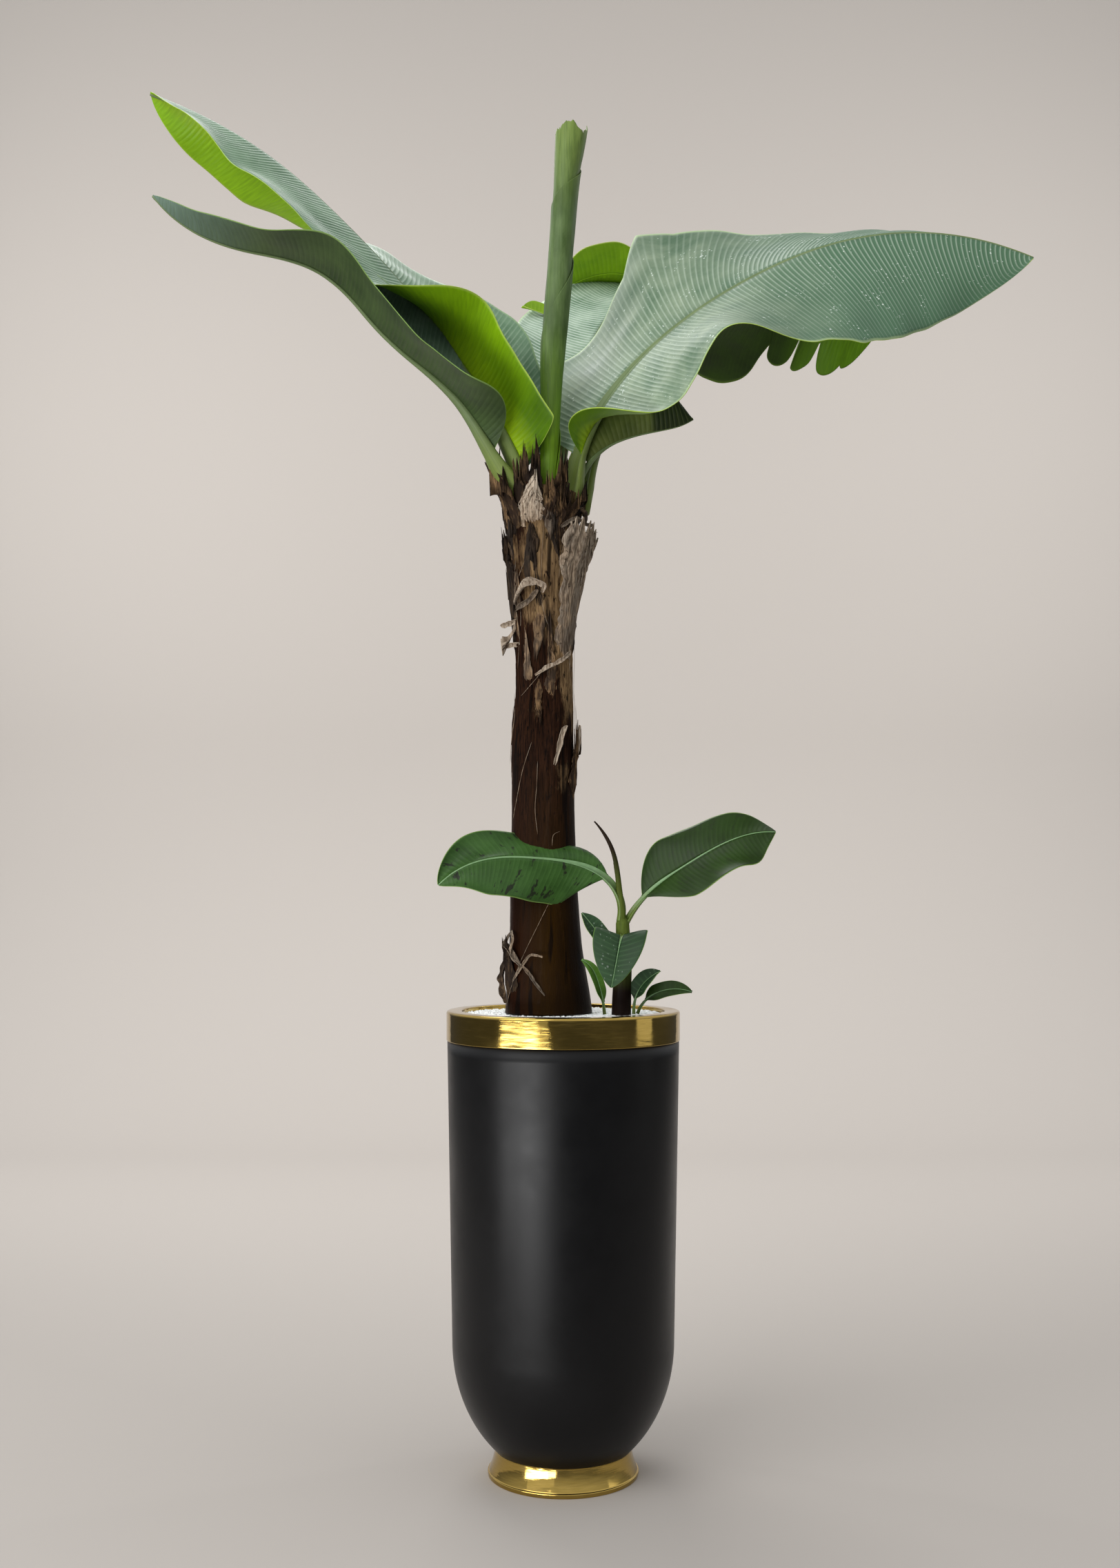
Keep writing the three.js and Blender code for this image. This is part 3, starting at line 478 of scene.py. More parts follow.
def shell(grid, thick):
    """Closed thin sheet round a grid of points: upper face, under face and the rim between them. Also
    which faces are the upper (0) and the under (1) side."""
    down, across = np.gradient(grid, axis=0), np.gradient(grid, axis=1)
    lift = unit(np.cross(down, across)) * thick / 2
    rows, columns = grid.shape[:2]
    index = np.arange(rows * columns).reshape(rows, columns)
    upper = np.stack([index[:-1, :-1], index[1:, :-1], index[1:, 1:], index[:-1, 1:]], -1).reshape(-1, 4)
    edge = np.concatenate([index[0, :-1], index[:-1, -1], index[-1, :0:-1], index[:0:-1, 0]])
    on = np.roll(edge, -1)
    under_at = rows * columns
    rim = np.stack([edge, on, on + under_at, edge + under_at], -1)
    points = np.concatenate([(grid + lift).reshape(-1, 3), (grid - lift).reshape(-1, 3)])
    side = np.concatenate([np.zeros(len(upper)), np.ones(len(upper)), np.ones(len(rim))])
    return points, np.concatenate([upper, upper[:, ::-1] + under_at, rim]), side


def joined(parts):
    """Several (points, quads, side, maps) bodies as one."""
    points, quads, sides, maps, start = [], [], [], {}, 0
    for body, body_quads, side, body_maps in parts:
        points.append(body)
        quads.append(body_quads + start)
        sides.append(side)
        for key, value in body_maps.items():
            maps.setdefault(key, []).append(value)
        start += len(body)
    return (np.concatenate(points), [np.concatenate(quads)], np.concatenate(sides),
            {key: np.concatenate(value) for key, value in maps.items()})


def grown(leaf, shares):
    """The midrib at shares of its length: its points, and the ways ahead, to the left and up from it."""
    s = np.linspace(0, 1, MIDRIB_STEPS + 1)
    azimuth, lift = (np.radians(along(leaf[key], s)) for key in ("azimuth", "lift"))
    ahead = np.stack([np.cos(lift) * np.cos(azimuth), np.cos(lift) * np.sin(azimuth), np.sin(lift)], -1)
    walk = np.concatenate([np.zeros((1, 3)), np.cumsum((ahead[1:] + ahead[:-1]) / 2, axis=0)])
    line = np.array(leaf["root"]) + walk * leaf["length"] / MIDRIB_STEPS
    level = np.stack([-np.sin(azimuth), np.cos(azimuth), np.zeros_like(azimuth)], -1)
    upright = np.cross(ahead, level)
    roll = np.radians(along(leaf.get("roll", [0]), s))[:, None]
    left = level * np.cos(roll) + upright * np.sin(roll)
    up = upright * np.cos(roll) - level * np.sin(roll)
    return [np.stack([np.interp(shares, s, values[:, k]) for k in range(3)], -1)
            for values in (line, ahead, left, up)]


def clasp(leaf, s):
    """How many times wider the stalk is at shares s of its length, where it clasps the stem."""
    return 1 + leaf.get("clasp", 0) * np.exp(-(s * leaf["length"] / CLASP_REACH) ** 2)


def rib_width(leaf, s):
    """Half the width of the stalk and midrib at shares s of the length, narrowing quickly where the blade
    starts."""
    u = np.clip((s - leaf["stalk"]) / (1 - leaf["stalk"]), 0, 1)
    taper = (1 - 0.28 * np.clip(s / leaf["stalk"], 0, 1)) * (1 - 0.55 * smooth(u / 0.35)) * (1 - 0.75 * u)
    return np.maximum(leaf["stalkR"] * taper * clasp(leaf, s), RIB_THINNEST)


def torn_lobes(lobes, u, fold):
    """The share of its width that a torn half blade keeps at shares u of its length, and its fold with the
    tilt of each lobe added. A lobe is its start, end, share of the width and tilt in degrees."""
    kept = np.zeros_like(u)
    for start, end, share, tilt in lobes:
        x = np.clip((u - start) / (end - start), 0, 1)
        lobe = (1 - np.abs(2 * x - 1) ** 10) * (0.8 + 0.2 * np.sin(np.pi * x)) * share
        kept = np.maximum(kept, np.where((u >= start) & (u <= end), lobe, 0))
        fold = fold + tilt * np.exp(-((u - (start + end) / 2) / (0.4 * (end - start))) ** 4)
    past = np.where(u > lobes[-1][1], BETWEEN_LOBES, np.maximum(kept, BETWEEN_LOBES))
    return np.where(u < lobes[0][0], 1, past), fold


def half_outline(leaf, shape, u, arc, hold, phase):
    """How far a half blade reaches out from the midrib, and how steeply it is folded up there in degrees,
    at shares u of its length. It widens to the leaf's half over rise, and narrows over fall."""
    width = leaf["half"] * np.sin(np.pi / 2 * np.clip(u / leaf.get("rise", 0.25), 0, 1)) ** 0.8
    tip = np.sin(np.pi / 2 * np.clip((1 - u) / leaf.get("fall", 0.5), 0, 1)) ** 0.7
    width *= tip * along(shape.get("width", [1]), u)
    for at, extra, reach in shape.get("bumps", []):
        width *= 1 + extra * np.clip(1 - np.abs(u - at) / reach, 0, 1)
    edge = np.sin(arc / 15 + phase[0]) + 0.7 * np.sin(arc / 8.5 + phase[1])
    edge = edge + 0.5 * np.sin(arc / 31 + phase[2])
    width = np.maximum((width - hold) * (1 + 0.006 * edge), NARROWEST)
    extra, reach = shape.get("base", [0, 1])
    fold = along(shape["fold"], u) + extra * np.exp(-(u / reach) ** 2)
    if "lobes" in shape:
        kept, fold = torn_lobes(shape["lobes"], u, fold)
        width = np.maximum(width * kept, NARROWEST)
    return width, fold


def half_blade(leaf, side, seed):
    """One half of a blade as a thin pleated shell, held on the shoulder of the midrib. side is 1 for the
    half on the left of a walker going out along the midrib, and -1 for the other."""
    shape = leaf["left" if side > 0 else "right"]
    stalk, length, across = leaf["stalk"], leaf["length"], leaf.get("across", 20)
    spacing = leaf.get("spacing", PLEAT / 5)
    s = np.linspace(stalk, 1, int(length * (1 - stalk) / spacing) + 1)
    u = (s - stalk) / (1 - stalk)
    arc = s * length
    line, ahead, left, up = grown(leaf, s)
    hold = 0.8 * rib_width(leaf, s) / clasp(leaf, s)
    phase = np.random.default_rng(seed).uniform(0, 6.28, 3)
    width, fold = half_outline(leaf, shape, u, arc, hold, phase)
    # rows of the mesh, walked out from the shoulder of the midrib by steps that fold and curl
    r = np.linspace(0, 1, across + 1)
    angle = np.radians(fold[:, None] + along(shape.get("curl", [0]), u)[:, None] * r)
    middle = (angle[:, 1:] + angle[:, :-1]) / 2
    out = side * np.cos(middle)[..., None] * left[:, None] + np.sin(middle)[..., None] * up[:, None]
    walk = np.cumsum(out * (width / across)[:, None, None], axis=1)
    shoulder = line + side * hold[:, None] * left - 0.12 * hold[:, None] * up
    grid = np.concatenate([np.zeros((len(s), 1, 3)), walk], axis=1) + shoulder[:, None]
    sweep = leaf.get("sweep", 0.15) * (1 - u * u) * width
    grid += (sweep[:, None] * r ** 1.5)[..., None] * ahead[:, None]
    # long waves of the margin, and soft dents 40 to 60 mm across
    normal = np.cos(angle)[..., None] * up[:, None] - side * np.sin(angle)[..., None] * left[:, None]
    sway = leaf.get("wave", 3.0) * (0.6 * np.sin(arc / 23 + phase[1]) + np.sin(arc / 41 + phase[0]))
    sway *= smooth(u * 8) * smooth((1 - u) * 6)
    dents = mottle(np.broadcast_to(arc[:, None] / 60, angle.shape), width[:, None] * r / 40 + 9, seed)
    dents = leaf.get("soft", 4.0) * dents
    grid += (np.outer(sway, r ** 2.5) + dents * r)[..., None] * normal
    # the side veins lean on towards the tip, and the rows of the mesh follow them
    left_over = np.maximum((1 - s[:, None]) * length, 1e-6)
    lean = along(leaf.get("slant", [0]), u)[:, None] * width[:, None] * r ** 1.4
    on = s[:, None] + left_over * (1 - np.exp(-lean / left_over)) / length
    for j in range(across + 1):
        for k in range(3):
            grid[:, j, k] = np.interp(on[:, j], s, grid[:, j, k])
            normal[:, j, k] = np.interp(on[:, j], s, normal[:, j, k])
    pleats = leaf.get("pleat", 0.42) * (1 - 2 * np.abs(np.sin(np.pi * arc / PLEAT)) ** 0.8)
    calm = smooth(r * 12) * (1 - 0.75 * smooth((r - 0.45) / 0.55)) * smooth((1 - r) * 20 + 0.2)
    grid += (pleats[:, None] * calm * smooth((width[:, None] - 8) / 20))[..., None] * normal
    lane = np.stack(np.broadcast_arrays(arc[:, None] / 1000, side * width[:, None] * r / 1000), -1)
    part = np.stack(np.broadcast_arrays((on - stalk) / (1 - stalk), r[None]), -1)
    if side < 0:
        grid, lane, part = grid[:, ::-1], lane[:, ::-1], part[:, ::-1]
    points, quads, sides = shell(grid, leaf.get("sheet", BLADE_THICK))
    maps = {"blade_mm": lane, "blade_share": part}
    return points, quads, sides, {key: np.tile(value.reshape(-1, 2), (2, 1)) for key, value in maps.items()}


def rib(leaf):
    """The stalk and midrib: rounded below, channelled above, tapering to the tip."""
    s = np.linspace(0, 1, max(24, int(leaf["length"] / 4)))
    u = np.clip((s - leaf["stalk"]) / (1 - leaf["stalk"]), 0, 1)
    line, ahead, left, up = grown(leaf, s)
    wide = rib_width(leaf, s)
    deep = wide * (0.8 + 0.15 * u)
    groove = RIB_CHANNEL * (1 - 0.35 * smooth(u / 0.3))
    a = np.linspace(0, 2 * np.pi, RIB_FACETS, endpoint=False)
    rise = np.sin(a)[None]
    rise = rise * (1 - np.where(rise > 0, groove[:, None] * rise ** 2, 0))
    rings = (line[:, None] + (wide[:, None] * np.cos(a))[..., None] * left[:, None]
             + (deep[:, None] * (rise - 0.35))[..., None] * up[:, None])
    if "foot" in leaf:
        down = np.array([leaf["foot"], leaf["foot"] / 2])[:, None, None] * ahead[0]
        rings, s = np.concatenate([rings[0] - down, rings]), np.concatenate([[0, 0], s])
    points, faces = tube(rings)
    lane = np.stack(np.broadcast_arrays(s[:, None], a[None] / 6.28), -1).reshape(-1, 2)
    return points, faces, {"blade_share": np.concatenate([lane, [[0, 0], [1, 0]]])}


def blade_finish(name, main, deep, vein, edge, lines=0.45, specks=0.0, far=None, turn_at=0.45, turn_by=0.3,
                 rough=0.52, spots=0.0, heart=None):
    """Leaf skin: main and deep greens in soft clouds 60 mm across, paler lines on the side veins, a thin
    margin in its own colour, wax specks 1 to 3 mm across and brown age spots 5 to 15 mm across. far is a
    second main colour that takes over from turn_at of the length on, within turn_by, and heart is the colour
    beside the midrib. Some skins use far and heart for painted light and painted shade."""
    material, tree = finish(name)
    lane = add(tree, "UVMap", uv_map="blade_mm")
    share = add(tree, "UVMap", uv_map="blade_share")
    out_along, out_across = (add(tree, "SeparateXYZ", {"Vector": share}, out) for out in (0, 1))
    run = add(tree, "SeparateXYZ", {"Vector": lane}, 0)
    clouds = add(tree, "TexNoise", {"Vector": lane, "Scale": 1 / 0.06, "Detail": 5.0, "Roughness": 0.6})
    drawn_out = add(tree, "Mapping", {"Vector": lane, "Scale": (1.0, 0.1, 1.0)})
    streaks = add(tree, "TexNoise", {"Vector": drawn_out, "Scale": 1 / 0.0028, "Detail": 3.0})
    coats = [(add(tree, "MapRange", {"Value": clouds, "From Min": 0.34, "From Max": 0.66}), main)]
    if far:
        reach = add(tree, "MapRange", {"Value": out_along, "From Min": turn_at,
                                       "From Max": turn_at + turn_by})
        coats.append((reach, far))
    # painted light beside the midrib, for the under face with light through it
    if heart:
        inner = add(tree, "MapRange", {"Value": out_across, "From Min": 0.05, "From Max": 0.5,
                                       "To Min": 1.0, "To Max": 0.0})
        coats.append((inner, heart))
    turn = add(tree, "Math", {0: run, 1: 2 * math.pi / (PLEAT / 1000)}, operation="MULTIPLY")
    wave = add(tree, "Math", {0: turn}, operation="COSINE")
    line = add(tree, "MapRange", {"Value": wave, "From Min": 0.35, "From Max": 1.0, "To Max": lines})
    fade = add(tree, "MapRange", {"Value": out_across, "From Min": 0.3, "From Max": 1.0, "To Min": 1.0,
                                  "To Max": 0.3 if lines < 0.7 else 0.9})
    line = add(tree, "Math", {0: line, 1: fade}, operation="MULTIPLY")
    fine = add(tree, "MapRange", {"Value": streaks, "From Min": 0.35, "From Max": 0.65, "To Max": 0.25})
    coats += [(line, vein), (fine, deep)]
    if specks:
        dots = add(tree, "TexVoronoi", {"Vector": lane, "Scale": 1 / 0.0065})
        spread = add(tree, "TexNoise", {"Vector": lane, "Scale": 1 / 0.05, "Detail": 2.0})
        size = add(tree, "MapRange", {"Value": spread, "From Min": 0.4, "From Max": 0.72, "To Max": 0.25})
        dot = add(tree, "Math", {0: dots, 1: size}, operation="LESS_THAN")
        coats.append((add(tree, "Math", {0: dot, 1: specks}, operation="MULTIPLY"), "#dfe8e0"))
    if spots:
        squeezed = add(tree, "Mapping", {"Vector": lane, "Scale": (1.0, 0.5, 1.0)})
        marks = add(tree, "TexNoise", {"Vector": squeezed, "Scale": 1 / 0.017, "Detail": 3.0,
                                       "Roughness": 0.65})
        mark = add(tree, "MapRange", {"Value": marks, "From Min": 0.59, "From Max": 0.63, "To Max": spots})
        coats.append((mark, "#17190f"))
    coats.append((add(tree, "MapRange", {"Value": out_across, "From Min": 0.97, "From Max": 0.995}), edge))
    colour = deep
    for where, tone in coats:
        colour = add(tree, "Mix", {0: where, 6: colour, 7: tone}, 2, data_type="RGBA")
    dull = add(tree, "MapRange", {"Value": clouds, "From Min": 0.3, "From Max": 0.7,
                                  "To Min": rough - 0.07, "To Max": rough + 0.07})
    relief = add(tree, "Bump", {"Strength": 0.25, "Distance": 0.0006, "Height": streaks})
    skin = add(tree, "BsdfPrincipled", {"Base Color": colour, "Roughness": dull, "Normal": relief,
                                        "IOR": 1.3})
    add(tree, "OutputMaterial", {"Surface": skin})
    return material


# waxy upper face: a grey bloom over green, dull, with pale side veins and white specks of wax and dust. The
# other three are the same skin: cleaner; paler with stronger veins, as painted light on the back leaf; and
# greyer, as painted shade where other leaves shade it
waxy = blade_finish("waxy leaf upper skin", "#8c9c83", "#546f55", "#bccab8", "#a9c08f", lines=0.46,
                    specks=0.65, far="#4d6f54", turn_at=0.34)
waxy_plain = blade_finish("waxy leaf upper skin without dust", "#7a987a", "#4c6e4f", "#b0c4ad", "#9cb98c",
                          lines=0.69, specks=0.12)
# paler: painted light on the back leaf
striped = blade_finish("waxy leaf upper skin with strong veins and painted light", "#b2c6b0", "#6c8a70", "#dde8dd", "#a9c08f",
                       lines=0.85)
# greyer: painted shade where other leaves shade it
shaded = blade_finish("waxy leaf upper skin in grey-green with painted shade", "#788c7e", "#4c6054", "#93a699", "#8fa878",
                      lines=0.3)
# under face with light through it: clear yellow-green, smoother and a little glossy, hardly veined. Its
# brightness is painted light for the light that comes through it. It has painted shade over the first fifth
# of the blade, and more painted light beyond that and beside the midrib, where the folds shade it
through_lit_under = blade_finish("under skin with painted light through it", "#547808", "#3f6204", "#6f9616", "#a5bf4e", lines=0.2,
                      rough=0.45, far="#86b40e", turn_at=0.06, turn_by=0.14, heart="#93b510")
# the same face where a margin turns up into the light: a lighter, clearer yellow-green
sunlit = blade_finish("sunlit under skin", "#a0c81c", "#7da512", "#aecb46", "#bccd6a", lines=0.25,
                      rough=0.45)
# under face of the lower left leaf: dark olive green, painted shade where the leaves above shade it, and
# paler and waxy at the tip
olive = blade_finish("dark olive under skin with painted shade", "#44582f", "#2c3d20", "#54683c", "#7c9a52", lines=0.25,
                     far="#71877a", turn_at=0.72)
# the short leaf's under face: olive, turning near-black at its curled end as painted shade inside the curl
olive_shadowed_end = blade_finish("olive under skin with a painted shadow at its end", "#5f6a33", "#434f22", "#8a9466", "#86993f",
                          lines=0.15, far="#18240a", turn_at=0.62, turn_by=0.05)
# the torn leaf: dark green in the shade of the leaf above it, and yellow-green near the tip, where light
# comes through
torn = blade_finish("dark olive skin of the torn leaf", "#304b08", "#213505", "#3d571a", "#57751f",
                    lines=0.3, far="#5a8408", turn_at=0.74, turn_by=0.12, rough=0.6)

# stalk and midrib skin: yellow-green at the foot, grey-green along the blade, with fine lengthwise lines
rib_skin, tree = finish("leaf stalk skin")
lane = add(tree, "UVMap", uv_map="blade_share")
drawn_out = add(tree, "Mapping", {"Vector": lane, "Scale": (3.0, 60.0, 1.0)})
lines = add(tree, "TexNoise", {"Vector": drawn_out, "Scale": 1.0, "Detail": 3.0})
clouds = add(tree, "TexNoise", {"Vector": add(tree, "TexCoord", out=3), "Scale": 1 / 0.03, "Detail": 4.0})
foot = add(tree, "MapRange", {"Value": add(tree, "SeparateXYZ", {"Vector": lane}, 0), "From Min": 0.02,
                              "From Max": 0.16, "To Min": 0.75, "To Max": 0.0})
dark_line = add(tree, "MapRange", {"Value": lines, "From Min": 0.4, "From Max": 0.7, "To Max": 0.4})
colour = "#56693f"
for where, tone in ((clouds, "#7b8c5f"), (foot, "#76852f"), (dark_line, "#485a38")):
    colour = add(tree, "Mix", {0: where, 6: colour, 7: tone}, 2, data_type="RGBA")
relief = add(tree, "Bump", {"Strength": 0.3, "Distance": 0.0006, "Height": lines})
skin = add(tree, "BsdfPrincipled", {"Base Color": colour, "Roughness": 0.5, "Normal": relief, "IOR": 1.35})
add(tree, "OutputMaterial", {"Surface": skin})

# Sizes in millimetres and angles in degrees, at even steps along the leaf where there are several. azimuth,
# lift and roll steer and turn the midrib from its root. The stalk is a share of the length, stalkR is half
# its width, and its foot is sunk in the stem. Each half blade is folded up from level and curls further up
# towards its margin, and width multiplies half, its widest reach. base is an extra fold at the foot of the
# blade, sweep and slant lean the blade and its veins towards the tip, and wave is the height of its waves.
CROWN = {
    "leaf_right": dict(
        skins=(waxy, through_lit_under), root=(8, -10, 1524), length=850, azimuth=[-8, -11, -12, -10], roll=[50],
        lift=[78, 56, 41, 29, 19, 4, -12, -26], stalk=0.055, stalkR=18, clasp=0.25, foot=55, half=180,
        rise=0.1, fall=0.6, sweep=0.1, slant=[0, 0.05, 0.35, 0.65, 0.8],
        left=dict(fold=[15, -7, 11, -10, -22, -30, -38], width=[1.14, 1.12, 1.1, 1.08, 1.05, 1.03],
                  curl=[-4, -7, -3, -6, -6, -7], bumps=[(0.33, 0.19, 0.05)]),
        right=dict(fold=[5, 5, 19, -4, -16, -35, -58], width=[0.72, 1.07, 1.18, 1.3, 1.43, 1.57],
                   base=[85, 0.06])),
    "leaf_upper_left": dict(
        skins=(waxy_plain, through_lit_under), root=(-52, -8, 1526), length=828, azimuth=[184, 185, 186, 187, 185],
        lift=[67, 57, 53, 46, 41, 29, 19], stalk=0.025, stalkR=26, clasp=0.1, foot=30, half=135,
        rise=0.03, fall=0.45, wave=6.0, slant=[0, 0.2, 0.4, 0.45],
        left=dict(fold=[52, 46, 40, 32, -10, -30, -32, -33, -35, -37, -38, -30, -20],
                  width=[0.8, 0.84, 1.1, 1.1, 1.05, 1.04], curl=[-12, -4, 3, 10]),
        right=dict(fold=[112, 96, 50, 21, -8, -35, -71], width=[0.68, 0.89, 0.94, 0.98, 1.02, 1.07],
                   curl=[6, 2, 0, -3])),
    "leaf_lower_left": dict(
        skins=(shaded, olive), root=(-76, -14, 1529), length=671, azimuth=[202, 205, 200, 194],
        lift=[45, 54, 51, 37, 31, 38, 45, 32, 11, 4, 14, 31, 50], stalk=0.075, stalkR=16, clasp=0.55,
        foot=30, half=90, rise=0.16, wave=4.0, slant=[0, 0.2, 0.4],
        left=dict(fold=[49, -5, -3, -1, 6, 5, 14, 21], width=[1.4, 1.14, 1.05, 1.02, 1, 0.97],
                  curl=[-7, -1, 4]),
        right=dict(fold=[85, 75, 75, 70, 60, 30], width=[1.0, 1.2, 0.75, 0.45, 0.5])),
    "leaf_back": dict(
        skins=(striped, through_lit_under), root=(-18, 36, 1526), length=760, azimuth=[64, 70, 64, 54, 44],
        lift=[66, 60, 54, 46, 34, 18, 0], stalk=0.1, stalkR=16, foot=30, half=156, rise=0.2, sweep=0.1,
        slant=[0, 0.35, 0.5],
        left=dict(fold=[26, 20, 14, 8, 15, 28], width=[0.95, 0.95, 0.88, 0.88, 0.9, 0.93], curl=[15, 15, 16]),
        right=dict(fold=[40, 40, 30, 10, 0, -20], width=[0.5])),
    "leaf_back_right": dict(
        skins=(torn, torn), root=(32, 26, 1526), length=788, azimuth=[25, 34, 32, 26],
        lift=[79, 49, 41, 37, 20, 2, -12], stalk=0.08, stalkR=15, foot=40, half=125, rise=0.2,
        left=dict(fold=[85, 67, 33, -3, -35, -80], width=[0.8, 0.99, 1.17, 1.36, 1.55, 1.7], curl=[-120, 6],
                  lobes=[(0.3, 0.66, 1.12, 0), (0.5, 0.708, 1.24, 0), (0.695, 0.787, 0.84, -5),
                         (0.788, 0.85, 1.04, 5), (0.845, 0.93, 1.16, -3), (0.9, 0.985, 1.3, 3)]),
        right=dict(fold=[85, 80, 70, 60, 40, 20], width=[0.45])),
    "leaf_short_right": dict(
        skins=(shaded, olive_shadowed_end), root=(13, -2, 1500), length=246, azimuth=[4],
        lift=[76, 68, 48, 29, 18, 12, 14, 32], stalk=0.24, stalkR=10, foot=30, half=52, rise=0.3,
        fall=0.13, wave=1.5,
        left=dict(fold=[70], width=[0.5]), right=dict(fold=[85, 75, 60, 50], curl=[40, 60])),
}
# two places where the back leaf's margin turns up into the light
EAR = dict(
    root=(172, 385, 1972), length=196, azimuth=[182], lift=[30, 8, -18, -34], stalk=0.04, stalkR=2,
    half=76, rise=0.4, fall=0.4, wave=1.0, left=dict(fold=[22, 18]), right=dict(fold=[0, -10], width=[0.5]))
CURL = dict(
    root=(-73, 256, 1890), length=74, azimuth=[28], lift=[0, -12], stalk=0.04, stalkR=1.5,
    half=22, rise=0.4, fall=0.4, wave=0.5, left=dict(fold=[70]), right=dict(fold=[-30], width=[0.6]))


def add_leaf(name, leaf, seed, rib_material):
    """The blade and the rib of one leaf."""
    points, faces, sides, maps = joined([half_blade(leaf, side, seed + side) for side in (1, -1)])
    piece(name + "_blade", points, faces, list(leaf["skins"]), [name], sides, maps)
    points, faces, maps = rib(leaf)
    piece(name + "_rib", points, faces, [rib_material], maps=maps)


for order, (name, leaf) in enumerate(CROWN.items()):
    add_leaf(name, leaf, 20 + 3 * order, rib_skin)
edges = [half_blade(edge, side, 60 + side) for edge in (EAR, CURL) for side in (1, -1)]
points, faces, sides, maps = joined(edges)
piece("leaf_back_turned_up_edge", points, faces, [sunlit, sunlit], face_material=sides,
      maps=maps)

# ---- rolled leaf ----
# The youngest leaf stands straight up out of the crown, still rolled. The edge of the roll winds round it as
# a clean step, and its top is torn and a little open. Its foot is pushed down into the stem.
ROLL_ROOT, ROLL_HEIGHT, ROLL_FOOT = (-22, -22, TRUNK_TOP_Z + GAP), 545, 40
ROLL_LEAN_X, ROLL_LEAN_Y = [0, 2, 4, 7, 12.5, 18, 23, 28, 35], [0, 0, 2, 6]
ROLL_RADIUS = [15.5, 15.5, 17, 19.5, 20.5, 20, 20, 21, 25]
ROLL_LAP = [-60, 100, 265, 505, 880]
ROLL_STEP, ROLL_TORN, ROLL_TUCK = 2.2, 13.0, 1.2
ROLL_END = 480  # degrees from the outer edge of the sheet round to its inner edge
ROLL_ROWS, ROLL_OUTER, ROLL_INNER = 200, 96, 30


def rolled_leaf():
    """A roll of a turn and a third, wound as one thin sheet whose outer edge is at the lap angle."""
    outer, inner = np.linspace(0, 360, ROLL_OUTER), np.linspace(366, ROLL_END, ROLL_INNER)
    t, wound = np.meshgrid(np.linspace(0, 1, ROLL_ROWS), np.concatenate([outer, inner]), indexing="ij")
    a = along(ROLL_LAP, t) + wound
    radius = along(ROLL_RADIUS, t) - ROLL_STEP * wound / 360 - ROLL_TUCK * smooth((wound - 350) / 60)
    radius += 0.35 * mottle(a / 9, t * 14, 71, 40) + 0.25 * mottle(a / 2.5, t * 3, 72, 144)
    rad = np.radians(a)
    teeth = 7 * np.sin(rad * 3 + 1) + 4 * mottle(a / 14, t * 0 + 3, 73, 26)
    teeth = teeth + 2 * mottle(a / 5, t * 0 + 5, 74, 72)
    torn_top = teeth * smooth((t - 0.93) / 0.07)
    grid = np.stack([ROLL_ROOT[0] + along(ROLL_LEAN_X, t) + radius * np.cos(rad),
                     ROLL_ROOT[1] + along(ROLL_LEAN_Y, t) + radius * np.sin(rad),
                     ROLL_ROOT[2] + (ROLL_HEIGHT - ROLL_TORN) * t + torn_top - ROLL_FOOT * (1 - t) ** 24], -1)
    points, quads, side = shell(grid[:, ::-1], BLADE_THICK)
    lane = np.stack([t * ROLL_HEIGHT / 1000, wound / 360], -1)[:, ::-1].reshape(-1, 2)
    maps = {"blade_mm": lane, "blade_share": lane / [ROLL_HEIGHT / 1000, 1.3]}
    return points, quads, side, {key: np.tile(value, (2, 1)) for key, value in maps.items()}


# rolled blade: grass green at the foot, grey-green up the roll with darker bruises 20 mm wide, yellow-green
# and drying at the torn top, with fine lines running up it
roll_skin, tree = finish("rolled young leaf skin")
place = add(tree, "TexCoord", out=3)
height = add(tree, "SeparateXYZ", {"Vector": place}, 2)
drawn_up = add(tree, "Mapping", {"Vector": place, "Scale": (1.0, 1.0, 0.06)})
half_drawn = add(tree, "Mapping", {"Vector": place, "Scale": (1.0, 1.0, 0.3)})
lines = add(tree, "TexNoise", {"Vector": drawn_up, "Scale": 1 / 0.003, "Detail": 3.0})
clouds = add(tree, "TexNoise", {"Vector": half_drawn, "Scale": 1 / 0.02, "Detail": 5.0})
cloud = add(tree, "MapRange", {"Value": clouds, "From Min": 0.35, "From Max": 0.65})
foot = add(tree, "MapRange", {"Value": height, "From Min": 1.6, "From Max": 1.76,
                              "To Min": 0.92, "To Max": 0.0})
top = add(tree, "MapRange", {"Value": height, "From Min": 1.93, "From Max": 2.07, "To Max": 0.7})
dark_line = add(tree, "MapRange", {"Value": lines, "From Min": 0.4, "From Max": 0.7, "To Max": 0.45})
colour = "#3d5322"
for where, tone in ((cloud, "#627846"), (foot, "#6c920e"), (top, "#7f9440"), (dark_line, "#38511f")):
    colour = add(tree, "Mix", {0: where, 6: colour, 7: tone}, 2, data_type="RGBA")
relief = add(tree, "Bump", {"Strength": 0.35, "Distance": 0.0007, "Height": lines})
skin = add(tree, "BsdfPrincipled", {"Base Color": colour, "Roughness": 0.5, "Normal": relief, "IOR": 1.35})
add(tree, "OutputMaterial", {"Surface": skin})

points, quads, sides, maps = rolled_leaf()
piece("rolled_leaf_skin", points, [quads], [roll_skin], ["rolled_leaf"], maps=maps)

# ---- dry leaf sheaths ----
# Old leaves leave their sheaths on the stem. They dry to brown and tan paper with ribs along them, split
# into strips, curl off and keep a few hair-like fibres. Each is a thin ribbed shell that grows out of the
# stem's skin and lifts at its torn end.
SHEATH_SEAT, PAPER_THICK, STRAP_THICK = 0.6, 0.9, 0.7
